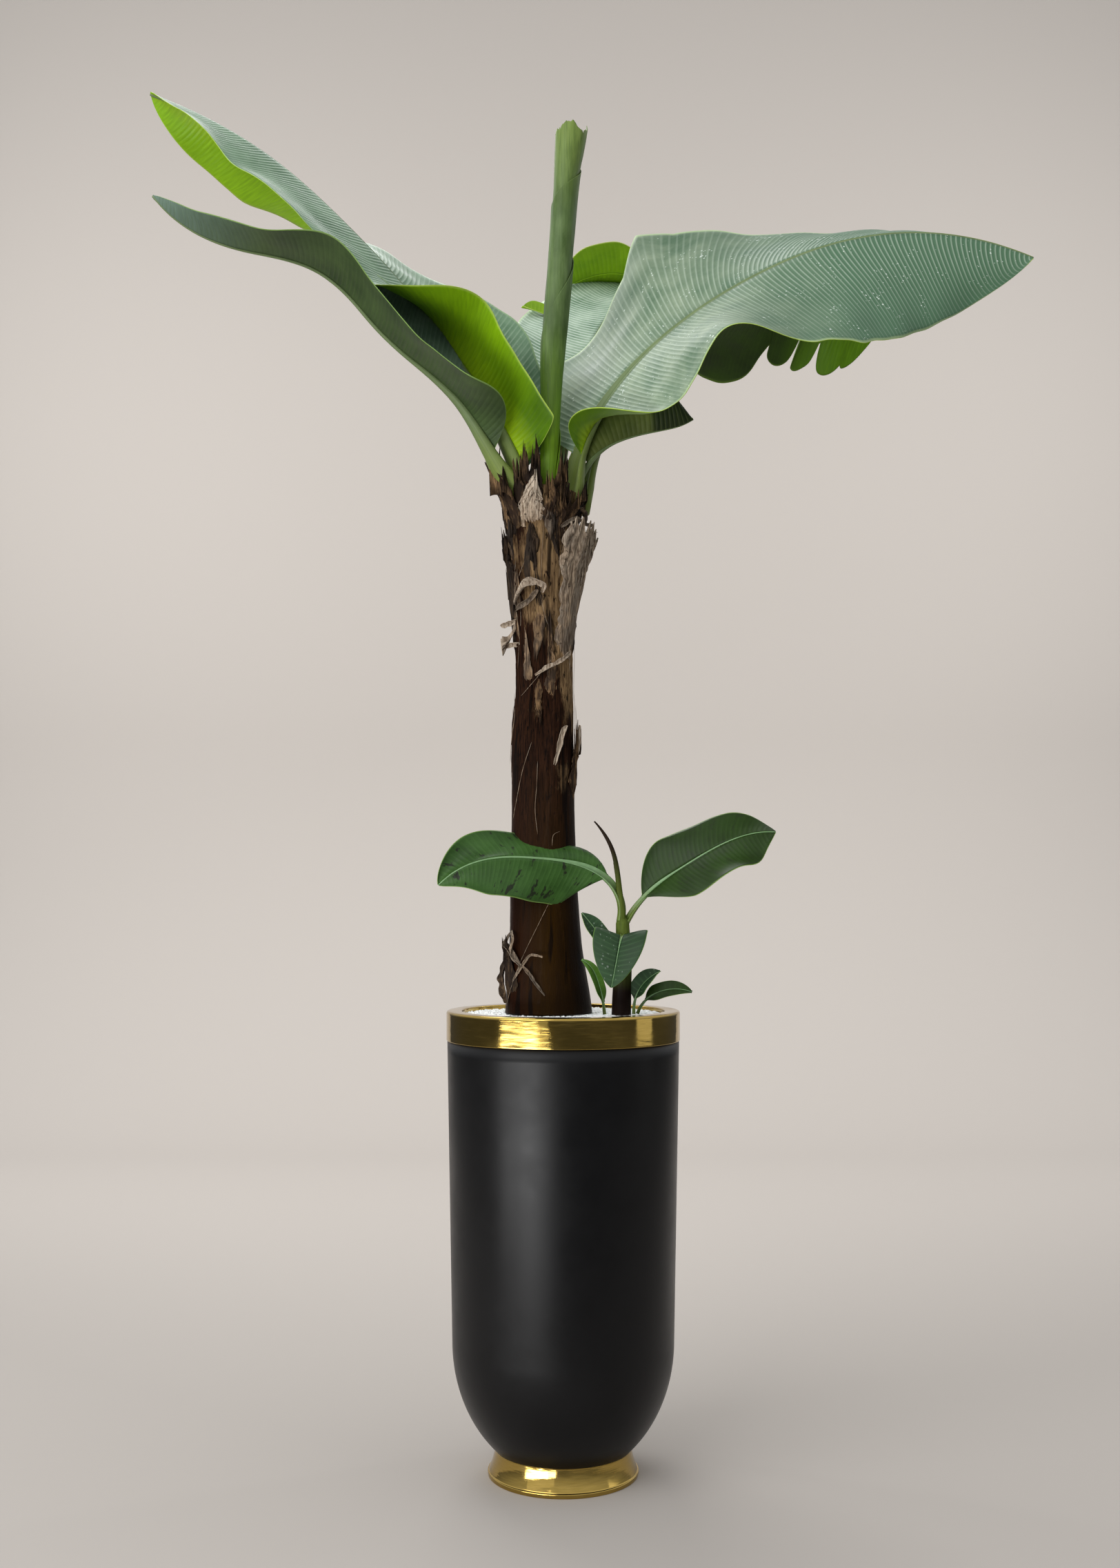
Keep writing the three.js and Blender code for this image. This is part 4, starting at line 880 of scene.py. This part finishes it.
# angle round the stem and width in degrees, low and high as shares of the stem's height, lift and curl off
# the skin in millimetres. The free end is the high one at 1 and the low one at -1, and point is its width.
SHEATHS = {
    "sheath_right_stub": dict(angle=319, width=64, slant=8, low=0.66, high=0.9, lift=33, ragged=0.22,
                              point=0.8, free=1, thick=2.2, curl=3, grey=0.72),
    "sheath_left_flap": dict(angle=190, width=44, low=0.78, high=0.9, lift=7, point=0.45, free=1, dark=1),
    "sheath_front_pale": dict(angle=250, width=56, slant=10, low=0.905, high=1.015, lift=9, point=0.06,
                              free=1, grey=1.3, root=0.95, crumple=0.5),
    "sheath_front_brown": dict(angle=300, width=50, low=0.86, high=1.0, lift=5, point=0.45, free=1, curl=2),
    "sheath_left_shred": dict(angle=196, width=16, low=0.67, high=0.745, lift=20, point=0.4, free=-1,
                              grey=1),
    "sheath_right_shard": dict(angle=340, width=46, slant=8, low=0.4, high=0.54, lift=6, point=0.6, free=1),
    "sheath_base_curl": dict(angle=205, width=42, low=0.03, high=0.14, lift=8, point=0.4, free=1, curl=3,
                             dark=1),
    "sheath_back_left": dict(angle=130, width=60, low=0.82, high=1.01, lift=8, point=0.4, free=1, curl=2),
    "sheath_back_right": dict(angle=55, width=58, low=0.74, high=0.9, lift=20, point=0.7, free=1, curl=3,
                              grey=0.4),
}


def dry_sheath(sheath, seed, rows=80, columns=36):
    """A ribbed, torn strip between two height shares. It grows out of the stem's skin at its fixed end and
    sides, and lifts and splits at its free end."""
    low, high, width, free = (sheath[key] for key in ("low", "high", "width", "free"))
    k, c = np.meshgrid(np.linspace(0, 1, rows), np.linspace(-0.5, 0.5, columns), indexing="ij")
    to_free = k if free > 0 else 1 - k
    tooth = np.abs(mottle(c * 7 + 20, c * 0 + 2, seed)) + 0.5 * np.abs(mottle(c * 19 + 20, c * 0 + 7, seed))
    reach = (high - low) * (0.12 - sheath.get("ragged", 0.45) * tooth) * to_free ** 2.5
    t = low + (high - low) * k + free * reach
    half = np.sign(c)
    edge = 1 + 0.22 * mottle(half * 7 + 20, k * 7, seed + 1) + 0.1 * mottle(half * 5 + 20, k * 27, seed)
    root = sheath.get("root", 0.45)
    share = (1 - (1 - sheath["point"]) * to_free ** 1.4) * edge * (root + (1 - root) * smooth(to_free / 0.25))
    sunk = 3.2 * (1 - smooth(to_free / 0.22)) + 2.4 * (1 - to_free) * np.abs(2 * c) ** 5
    off = sheath["lift"] * to_free ** 2 + sheath.get("curl", 0) * to_free * (2 * c) ** 2 - sunk
    a = sheath["angle"] + sheath.get("slant", 0) * to_free + 5 * mottle(k * 3, k * 0 + 4, seed + 4)
    a = a + c * width * share
    ribs = 0.5 * np.sin(c * width * 1.15 + seed) + 0.6 * mottle(c * width / 3 + 30, k * 5, seed + 2)
    crumple = sheath.get("crumple", 2.0) * mottle(c * 5 + 30, k * 6, seed + 3) * (0.3 + to_free)
    rise = np.where(to_free > 0.2, np.maximum(ribs + crumple, -0.8), ribs)
    thick = sheath.get("thick", PAPER_THICK)
    grid = stem_point(t, a, SHEATH_SEAT + 0.9 + thick / 2 + off + rise)
    points, quads, side = shell(grid[:, ::-1], thick)
    grey = sheath.get("grey", 0) * (0.35 + 0.65 * to_free)
    tone = np.stack([0 * k + sheath.get("dark", 0), grey], -1).reshape(-1, 2)
    return points, quads, side, {"tone": np.tile(tone, (2, 1))}


def spun(run, steps=10):
    """A smooth path in millimetres through (height share, angle, height off the skin) stops."""
    keys = np.array([stem_point(np.array(float(t)), np.array(float(a)), off) for t, a, off in run])
    s = np.linspace(0, 1, steps * len(keys))
    return s, np.stack([along(keys[:, i], s) for i in range(3)], -1)


def strap(run, width, twist, seed, grey=0.6, dark=0.0):
    """A curling ribbon of dry sheath along a path, turned about it by twist degrees, cupped across and
    pointed at both ends."""
    s, path = spun(run, 14)
    tangent = unit(np.gradient(path, axis=0))
    axis = np.stack([along(TRUNK_X, 0.5) + 0 * s, along(TRUNK_Y, 0.5) + 0 * s, path[:, 2]], -1)
    flat = unit(np.cross(tangent, path - axis))
    up = np.cross(flat, tangent)
    turn = np.radians(along(twist, s))[:, None]
    flat, up = flat * np.cos(turn) + up * np.sin(turn), up * np.cos(turn) - flat * np.sin(turn)
    c = np.linspace(-0.5, 0.5, 9)
    wide = width * np.sin(np.pi * np.clip(s * 0.94 + 0.04, 0, 1)) ** 0.5
    wide = wide * (1 + 0.25 * mottle(s * 9, s * 0 + 3, seed))
    grid = path[:, None] + (wide[:, None] * c)[..., None] * flat[:, None]
    cup = wide[:, None] * 0.5 * (2 * c) ** 2 + 0.5 * mottle(c[None] * 6 + 20, s[:, None] * 12, seed)
    grid += cup[..., None] * up[:, None]
    points, quads, side = shell(grid, STRAP_THICK)
    return points, quads, side, {"tone": np.tile(np.float32([dark, grey]), (len(points), 1))}


def fibre(run, radius, sides=5):
    """A hair of dry leaf along a path, as a thin closed tube with tapered ends."""
    s, path = spun(run)
    tangent = unit(np.gradient(path, axis=0))
    across = unit(np.cross(tangent, [0.3, 0.4, 0.86]))
    up = np.cross(tangent, across)
    a = np.linspace(0, 2 * np.pi, sides, endpoint=False)[None, :, None]
    size = radius * np.clip(np.minimum(s, 1 - s) * 12, 0.25, 1)[:, None, None]
    return tube(path[:, None] + size * (np.cos(a) * across[:, None] + np.sin(a) * up[:, None]))


# dry sheath paper: brown and tan, black where it has rotted and grey where it is bleached, with ribs 2 to
# 3 mm apart and dark specks 2 to 5 mm across. The same black also serves as painted shade on the small
# strips of the shaded side
paper_skin, tree = finish("dry leaf sheath paper")
place = add(tree, "TexCoord", out=3)
tone_map = add(tree, "UVMap", uv_map="tone")
rot_and_shade, bleached = (add(tree, "SeparateXYZ", {"Vector": tone_map}, out) for out in (0, 1))
drawn_up = add(tree, "Mapping", {"Vector": place, "Scale": (1.0, 1.0, 0.08)})
half_drawn = add(tree, "Mapping", {"Vector": place, "Scale": (1.0, 1.0, 0.4)})
ribs = add(tree, "TexNoise", {"Vector": drawn_up, "Scale": 1 / 0.0024, "Detail": 4.0})
blots = add(tree, "TexNoise", {"Vector": half_drawn, "Scale": 1 / 0.022, "Detail": 6.0, "Roughness": 0.65})
spots = add(tree, "TexNoise", {"Vector": place, "Scale": 1 / 0.005, "Detail": 2.0})
rib_tone = add(tree, "MapRange", {"Value": ribs, "From Min": 0.35, "From Max": 0.68})
rot = add(tree, "MapRange", {"Value": blots, "From Min": 0.56, "From Max": 0.46, "To Max": 0.9})
bleach = add(tree, "Mix", {0: rib_tone, 6: "#7d6b59", 7: "#d0c1ad"}, 2, data_type="RGBA")
pale, black = (add(tree, "Math", {0: much, 1: 0.8}, operation="MULTIPLY") for much in (bleached, rot_and_shade))
speck = add(tree, "MapRange", {"Value": spots, "From Min": 0.66, "From Max": 0.72, "To Max": 0.7})
colour = "#2c1d12"
for where, tone in ((rib_tone, "#846848"), (rot, "#20140c"), (pale, bleach), (black, "#130c08"),
                    (speck, "#0f0906")):
    colour = add(tree, "Mix", {0: where, 6: colour, 7: tone}, 2, data_type="RGBA")
relief = add(tree, "Bump", {"Strength": 0.6, "Distance": 0.001, "Height": ribs})
skin = add(tree, "BsdfPrincipled", {"Base Color": colour, "Roughness": 0.85, "Normal": relief, "IOR": 1.25})
add(tree, "OutputMaterial", {"Surface": skin})

for order, (name, sheath) in enumerate(SHEATHS.items()):
    points, quads, side, maps = dry_sheath(sheath, 200 + 7 * order)
    piece(name + "_paper", points, [quads], [paper_skin], [name], maps=maps)

# smaller strips between the large ones, closer towards the top and, as painted shade, darker on the shaded
# side, and rags round the feet of the leaf stalks
STRIPS = 52
rng = np.random.default_rng(41)
strips = []
for k in range(STRIPS):
    low = 0.48 + 0.44 * rng.uniform(0, 1) ** 0.6
    a = rng.uniform(0, 360)
    shaded_side = 150 < a < 265
    strip = dict(angle=a, width=rng.uniform(9, 30), low=low, high=min(0.99, low + rng.uniform(0.05, 0.16)),
                 lift=rng.uniform(0.3, 2.6), point=rng.uniform(0.05, 0.35),
                 free=1 if rng.uniform() < 0.8 else -1, slant=rng.uniform(-10, 10),
                 # painted shade: on the shaded side more strips take the black tone
                 dark=float(rng.uniform() < (0.75 if shaded_side else 0.45)),
                 grey=rng.uniform(0, 0.3), thick=0.8, curl=rng.uniform(0, 1.5))
    strips.append(dry_sheath(strip, 400 + 5 * k, 28, 12))
RAGS = [
    # angle, low, high, width, lift, dark
    (182, 0.93, 1.06, 34, 6, 0), (200, 0.89, 1.05, 46, 27, 0.2), (216, 0.89, 1.03, 40, 20, 0.5),
    (236, 0.93, 1.04, 30, 6, 0.8), (245, 0.93, 1.065, 26, 0, 0.6), (257, 0.93, 1.075, 27, 0, 0.9),
    (262, 0.93, 1.05, 26, 3, 1), (280, 0.9, 1.02, 26, 5, 0), (299, 0.93, 1.06, 30, 2, 0.5),
    (300, 0.92, 1.03, 30, 4, 1), (316, 0.9, 1.0, 30, 9, 0), (338, 0.92, 1.02, 30, 9, 1),
    (0, 0.9, 1.01, 30, 8, 0), (28, 0.9, 1.03, 30, 6, 1), (80, 0.92, 1.04, 34, 6, 0),
    (108, 0.9, 1.02, 30, 8, 1), (160, 0.92, 1.05, 34, 6, 0)]
for k, (a, low, high, width, lift, dark) in enumerate(RAGS):
    rag = dict(angle=a, width=width, low=low, high=high, lift=lift, point=0.35, free=1, dark=0.8 * dark,
               curl=4)
    strips.append(dry_sheath(rag, 700 + 5 * k, 30, 15))
points, faces, side, maps = joined(strips)
piece("small_dry_strips", points, faces, [paper_skin], maps=maps)

# curled straps that have come loose: one across the front, a diagonal one, shreds at the left and a star of
# dried curls at the foot
STRAPS = [
    # stops, width, twist, grey, dark
    ([(0.765, 205, 3), (0.775, 222, 7), (0.792, 240, 9), (0.8, 256, 9), (0.792, 272, 8), (0.78, 268, 5)],
     11, [0, 30, -20, 10], 0.8, 0),
    ([(0.752, 208, 2), (0.758, 228, 6), (0.768, 246, 5), (0.785, 262, 4)], 9, [20, -30, 10], 0.4, 0.3),
    ([(0.628, 250, 2), (0.638, 272, 6), (0.652, 296, 7), (0.675, 322, 3)], 8, [10, 50, 0], 0.8, 0),
    ([(0.735, 208, 1), (0.732, 196, 7), (0.727, 186, 21)], 9, [40, 60], 0.9, 0),
    ([(0.692, 212, 1), (0.692, 198, 5), (0.688, 186, 15)], 8, [60, 30], 1.0, 0),
    ([(0.46, 290, 1), (0.49, 296, 4), (0.52, 302, 5), (0.535, 312, 3)], 7, [10, 40], 0.9, 0),
    ([(0.47, 338, 1), (0.5, 345, 4), (0.54, 352, 9)], 8, [0, 60], 0.9, 0),
    ([(0.15, 212, 3), (0.128, 204, 8), (0.115, 220, 8), (0.09, 236, 4)], 9, [0, 70, 20], 0.5, 0.4),
    ([(0.108, 268, 14), (0.112, 252, 12), (0.092, 238, 5), (0.06, 222, 3)], 5, [20, 60, 10], 0.5, 0.1),
    ([(0.092, 238, 4), (0.074, 250, 6), (0.056, 257, 3), (0.036, 268, 2)], 5, [10, 50], 0.4, 0.4),
    ([(0.155, 214, 2), (0.14, 226, 9), (0.11, 222, 7), (0.09, 240, 4)], 6, [30, -40], 0.6, 0),
    ([(0.1, 190, 1), (0.075, 184, 6), (0.045, 192, 4), (0.02, 204, 2)], 12, [20, 50], 0.1, 0.7),
    ([(0.905, 300, 3), (0.925, 318, 12), (0.915, 340, 22), (0.925, 352, 26)], 8, [0, 60, 20], 0.4, 0.3),
    ([(0.95, 318, 2), (0.965, 332, 7), (0.945, 345, 12), (0.925, 350, 9)], 9, [0, 70, 30], 0.2, 0.5),
    ([(0.905, 20, 3), (0.93, 50, 12), (0.91, 80, 8)], 9, [0, 60], 0.4, 0.3),
    ([(0.72, 100, 2), (0.74, 125, 8), (0.72, 150, 4)], 10, [10, 50], 0.6, 0.2),
]
straps = [strap(run, width, twist, 900 + k, grey, dark)
          for k, (run, width, twist, grey, dark) in enumerate(STRAPS)]
points, faces, side, maps = joined(straps)
piece("curled_straps", points, faces, [paper_skin], maps=maps)

# hair-like fibres: eight that hang where they catch the eye, and more strewn up the stem
HAIRS = [
    [(0.208, 280, 3), (0.167, 262, 3), (0.103, 237, 4), (0.052, 220, 3), (0.002, 203, 3)],
    [(0.66, 284, 8), (0.62, 251, 4), (0.591, 220, 3)],
    [(0.775, 266, 8), (0.747, 270, 9), (0.721, 276, 7)],
    [(0.504, 248, 2), (0.448, 232, 3), (0.364, 209, 2)],
    [(0.339, 300, 3), (0.334, 289, 7), (0.327, 286, 6), (0.311, 286, 3)],
    [(0.893, 300, 12), (0.9, 330, 26), (0.903, 350, 37)],
    [(0.9, 272, 3), (0.82, 268, 3), (0.76, 270, 3)],
    [(0.3, 80, 3), (0.22, 100, 4), (0.15, 90, 3)]]
STREWN_HAIRS, HAIR_STEP = 30, 0.045
for k in range(STREWN_HAIRS):
    t, a = rng.uniform(0.33, 0.95), rng.uniform(0, 360)
    HAIRS.append([(min(1, t + HAIR_STEP * i), a + rng.uniform(-7, 7) * i, rng.uniform(1.0, 4.5))
                  for i in range(4)])
start, hair_points, hair_faces = 0, [], []
for run in HAIRS:
    body, blocks = fibre(run, rng.uniform(0.22, 0.42))
    hair_points.append(body)
    hair_faces += [block + start for block in blocks]
    start += len(body)
hair_points = np.concatenate(hair_points)
piece("loose_fibres", hair_points, hair_faces, [paper_skin],
      maps={"tone": np.tile(np.float32([0, 0.5]), (len(hair_points), 1))})

# ---- young shoot ----
# A side shoot comes up beside the stem: a short dark false stem with small deep-green leaves, two of them
# broad, a rolled spear and a few narrow first leaves at the gravel.
(SHOOT_X, SHOOT_Y), SHOOT_TOP_Z = SHOOT_AT, 856.0
SHOOT_R, SHOOT_LEAN = [15, 14.5, 13, 11.5, 10], [0, 1, 3, 3, 2]
SMALL = dict(spacing=1.6, across=14, pleat=0.15, soft=1.8, wave=1.5, sheet=0.7)

# shoot leaf skins: deep green and a little glossy, one of them marked with dark age spots, the lower ones
# with a thin wax, and a paler green under face
deep_green = blade_finish("deep green shoot leaf skin", "#213a06", "#172904", "#314c18", "#6d8c3c",
                          lines=0.25, rough=0.42, spots=0.3)
spotted = blade_finish("spotted shoot leaf skin", "#365823", "#243f16", "#4b6f36", "#6f8c48", lines=0.2,
                       rough=0.42, spots=0.9)
glaucous = blade_finish("waxy shoot leaf skin", "#284226", "#1a2f18", "#45633f", "#5a7c36", lines=0.3,
                        specks=0.12)
soft_under = blade_finish("shoot leaf under skin", "#43661f", "#304f13", "#587c30", "#728f42", lines=0.2,
                          rough=0.45)

# shoot stalk skin: pale grey-green midribs, and olive stalks where they leave the shoot
shoot_rib, tree = finish("shoot leaf stalk skin")
place = add(tree, "TexCoord", out=3)
clouds = add(tree, "TexNoise", {"Vector": place, "Scale": 1 / 0.01, "Detail": 3.0})
near = add(tree, "SeparateXYZ", {"Vector": add(tree, "UVMap", uv_map="blade_share")}, 0)
foot = add(tree, "MapRange", {"Value": near, "From Min": 0.08, "From Max": 0.28,
                              "To Min": 1.0, "To Max": 0.0})
stalk_tone = add(tree, "Mix", {0: clouds, 6: "#39401a", 7: "#67802c"}, 2, data_type="RGBA")
colour = "#55764a"
for where, tone in ((clouds, "#77986a"), (foot, stalk_tone)):
    colour = add(tree, "Mix", {0: where, 6: colour, 7: tone}, 2, data_type="RGBA")
skin = add(tree, "BsdfPrincipled", {"Base Color": colour, "Roughness": 0.42})
add(tree, "OutputMaterial", {"Surface": skin})

SHOOT = {
    "shoot_leaf_left": dict(
        skins=(spotted, soft_under), root=(SHOOT_X + 2, SHOOT_Y, 850), length=348,
        azimuth=[180, 185, 190, 188, 185],
        lift=[100, 65, 32, 12, 5, 1, -10, -27, -45], roll=[-30, -60, -60, -60], stalk=0.22, stalkR=9,
        half=50, rise=0.2, fall=0.35, sweep=0.25, wave=2.5, slant=[0, 0.4],
        left=dict(fold=[-31, -30, -28, -25, -24], width=[1.5, 1.35, 1.2, 1.05], curl=[-23, 61]),
        right=dict(fold=[62, 13, -16, -40, -67], width=[1.11, 1.12, 1.12, 1.13], curl=[-161, 146])),
    "shoot_leaf_right": dict(
        skins=(deep_green, soft_under), root=(SHOOT_X + 5, SHOOT_Y, 850), length=275, azimuth=[0, -5, -5, 0],
        lift=[61, 50, 40, 33, 32, 29, 22, 11, -3], roll=[30, 60, 60], stalk=0.17, stalkR=7,
        half=54, rise=0.25, fall=0.3, sweep=0.3, wave=5.5, slant=[0, 0.4],
        left=dict(fold=[31, 14, 0, -15, -25], width=[1.15, 1.07, 0.98, 0.9], curl=[9, -9]),
        right=dict(fold=[20, 7, -3, -15, -30], width=[1.1, 1.09, 1.08, 1.07], curl=[-27, 58])),
    "shoot_leaf_front": dict(
        skins=(glaucous, soft_under), root=(SHOOT_X + 2, SHOOT_Y - 6, 834), length=100,
        azimuth=[262, 240, 220], lift=[-10, -60, -72, -74], stalk=0.12, stalkR=4, half=42, rise=0.14,
        fall=0.75, sweep=-0.35,
        left=dict(fold=[22, 8, -6], curl=[-20, -30]), right=dict(fold=[28, 34, 40], curl=[-20, 10])),
    "shoot_leaf_behind": dict(
        skins=(glaucous, soft_under), root=(SHOOT_X - 2, SHOOT_Y + 3, 776), length=106, azimuth=[176],
        lift=[75, 56, 52, 50], roll=[-60], stalk=0.4, stalkR=3, half=15, fall=0.5,
        left=dict(fold=[10]), right=dict(fold=[10])),
    "shoot_leaf_narrow": dict(
        skins=(soft_under, soft_under), root=(63, -46, FILL_TOP + GAP + 0.4), length=94, azimuth=[180],
        lift=[85, 76, 66, 30], roll=[-60], stalk=0.2, stalkR=3, half=9, fall=0.5,
        left=dict(fold=[10]), right=dict(fold=[10])),
    "shoot_leaf_low": dict(
        skins=(glaucous, soft_under), root=(106, -54, FILL_TOP + GAP + 1.5), length=82, azimuth=[0],
        lift=[92, 70, 45, 25], roll=[50], stalk=0.28, stalkR=3, half=16, fall=0.5,
        left=dict(fold=[20]), right=dict(fold=[20])),
    "shoot_leaf_tip": dict(
        skins=(deep_green, soft_under), root=(112, -44, FILL_TOP + GAP + 1.5), length=100, azimuth=[0],
        lift=[70, 34, 6, -18], roll=[50], stalk=0.25, stalkR=3, half=14, fall=0.5,
        left=dict(fold=[20]), right=dict(fold=[20])),
}
for order, (name, leaf) in enumerate(SHOOT.items()):
    add_leaf(name, SMALL | leaf, 90 + 3 * order, shoot_rib)

# rolled spear and shoot stem skin: near-black brown at the gravel, olive green where the leaf stalks part,
# and dark brown again at the drying tip of the spear
shoot_skin, tree = finish("dark shoot stem skin")
place = add(tree, "TexCoord", out=3)
height = add(tree, "SeparateXYZ", {"Vector": place}, 2)
drawn_up = add(tree, "Mapping", {"Vector": place, "Scale": (1.0, 1.0, 0.1)})
lines = add(tree, "TexNoise", {"Vector": drawn_up, "Scale": 1 / 0.003, "Detail": 3.0})
olive_tone = add(tree, "Mix", {0: lines, 6: "#323a15", 7: "#5c6d2a"}, 2, data_type="RGBA")
green = add(tree, "MapRange", {"Value": height, "From Min": 0.745, "From Max": 0.81})
drying = add(tree, "MapRange", {"Value": height, "From Min": 0.88, "From Max": 0.96})
colour = "#0c0605"
for where, tone in ((lines, "#1d120d"), (green, olive_tone), (drying, "#231a10")):
    colour = add(tree, "Mix", {0: where, 6: colour, 7: tone}, 2, data_type="RGBA")
relief = add(tree, "Bump", {"Strength": 0.3, "Distance": 0.0006, "Height": lines})
skin = add(tree, "BsdfPrincipled", {"Base Color": colour, "Roughness": 0.5, "Normal": relief, "IOR": 1.15})
add(tree, "OutputMaterial", {"Surface": skin})

SPEAR = dict(root=(SHOOT_X + 1, SHOOT_Y - 1, 850), length=162, azimuth=[180], lift=[90, 83, 84, 76, 60, 48])
SPEAR_R = [6.2, 5.0, 4.2, 3.6, 2.8, 1.0]


def lapped(past, high):
    """How far a rolled skin stands out at an angle past its lap: a step that dies away round the roll."""
    return high * (np.exp(-np.mod(past, 360) / 60) - 0.2)


share, angle = np.meshgrid(np.linspace(0, 1, 80), np.linspace(0, 360, 24, endpoint=False), indexing="ij")
line, _, left, up = grown(SPEAR, share[:, 0])
radius = along(SPEAR_R, share) + lapped(angle - 60 - 400 * share, 0.6)
rad = np.radians(angle)
rings = (line[:, None] + (radius * np.cos(rad))[..., None] * left[:, None]
         + (radius * np.sin(rad))[..., None] * up[:, None])
points, faces = tube(rings)
piece("shoot_spear_rolled", points, faces, [shoot_skin], ["shoot_spear"])

share, angle = np.meshgrid(np.linspace(0, 1, 120), np.linspace(0, 360, 64, endpoint=False), indexing="ij")
rad = np.radians(angle)
radius = along(SHOOT_R, share) * (1 + 0.04 * np.cos(2 * rad + 2))
radius += lapped(angle - 40 - 90 * share, 0.9) + 0.3 * mottle(angle / 9, share * 4, 33, 40)
radius *= np.sqrt(np.clip(1.02 - np.clip((share - 0.93) / 0.07, 0, 1) ** 2 * 0.75, 0, 1))
rings = np.stack([SHOOT_X + along(SHOOT_LEAN, share) + radius * np.cos(rad), SHOOT_Y + radius * np.sin(rad),
                  TRUNK_FOOT_Z + (SHOOT_TOP_Z - TRUNK_FOOT_Z) * share], -1)
points, faces = tube(rings)
piece("shoot_stem_skin", points, faces, [shoot_skin], ["shoot_stem"])
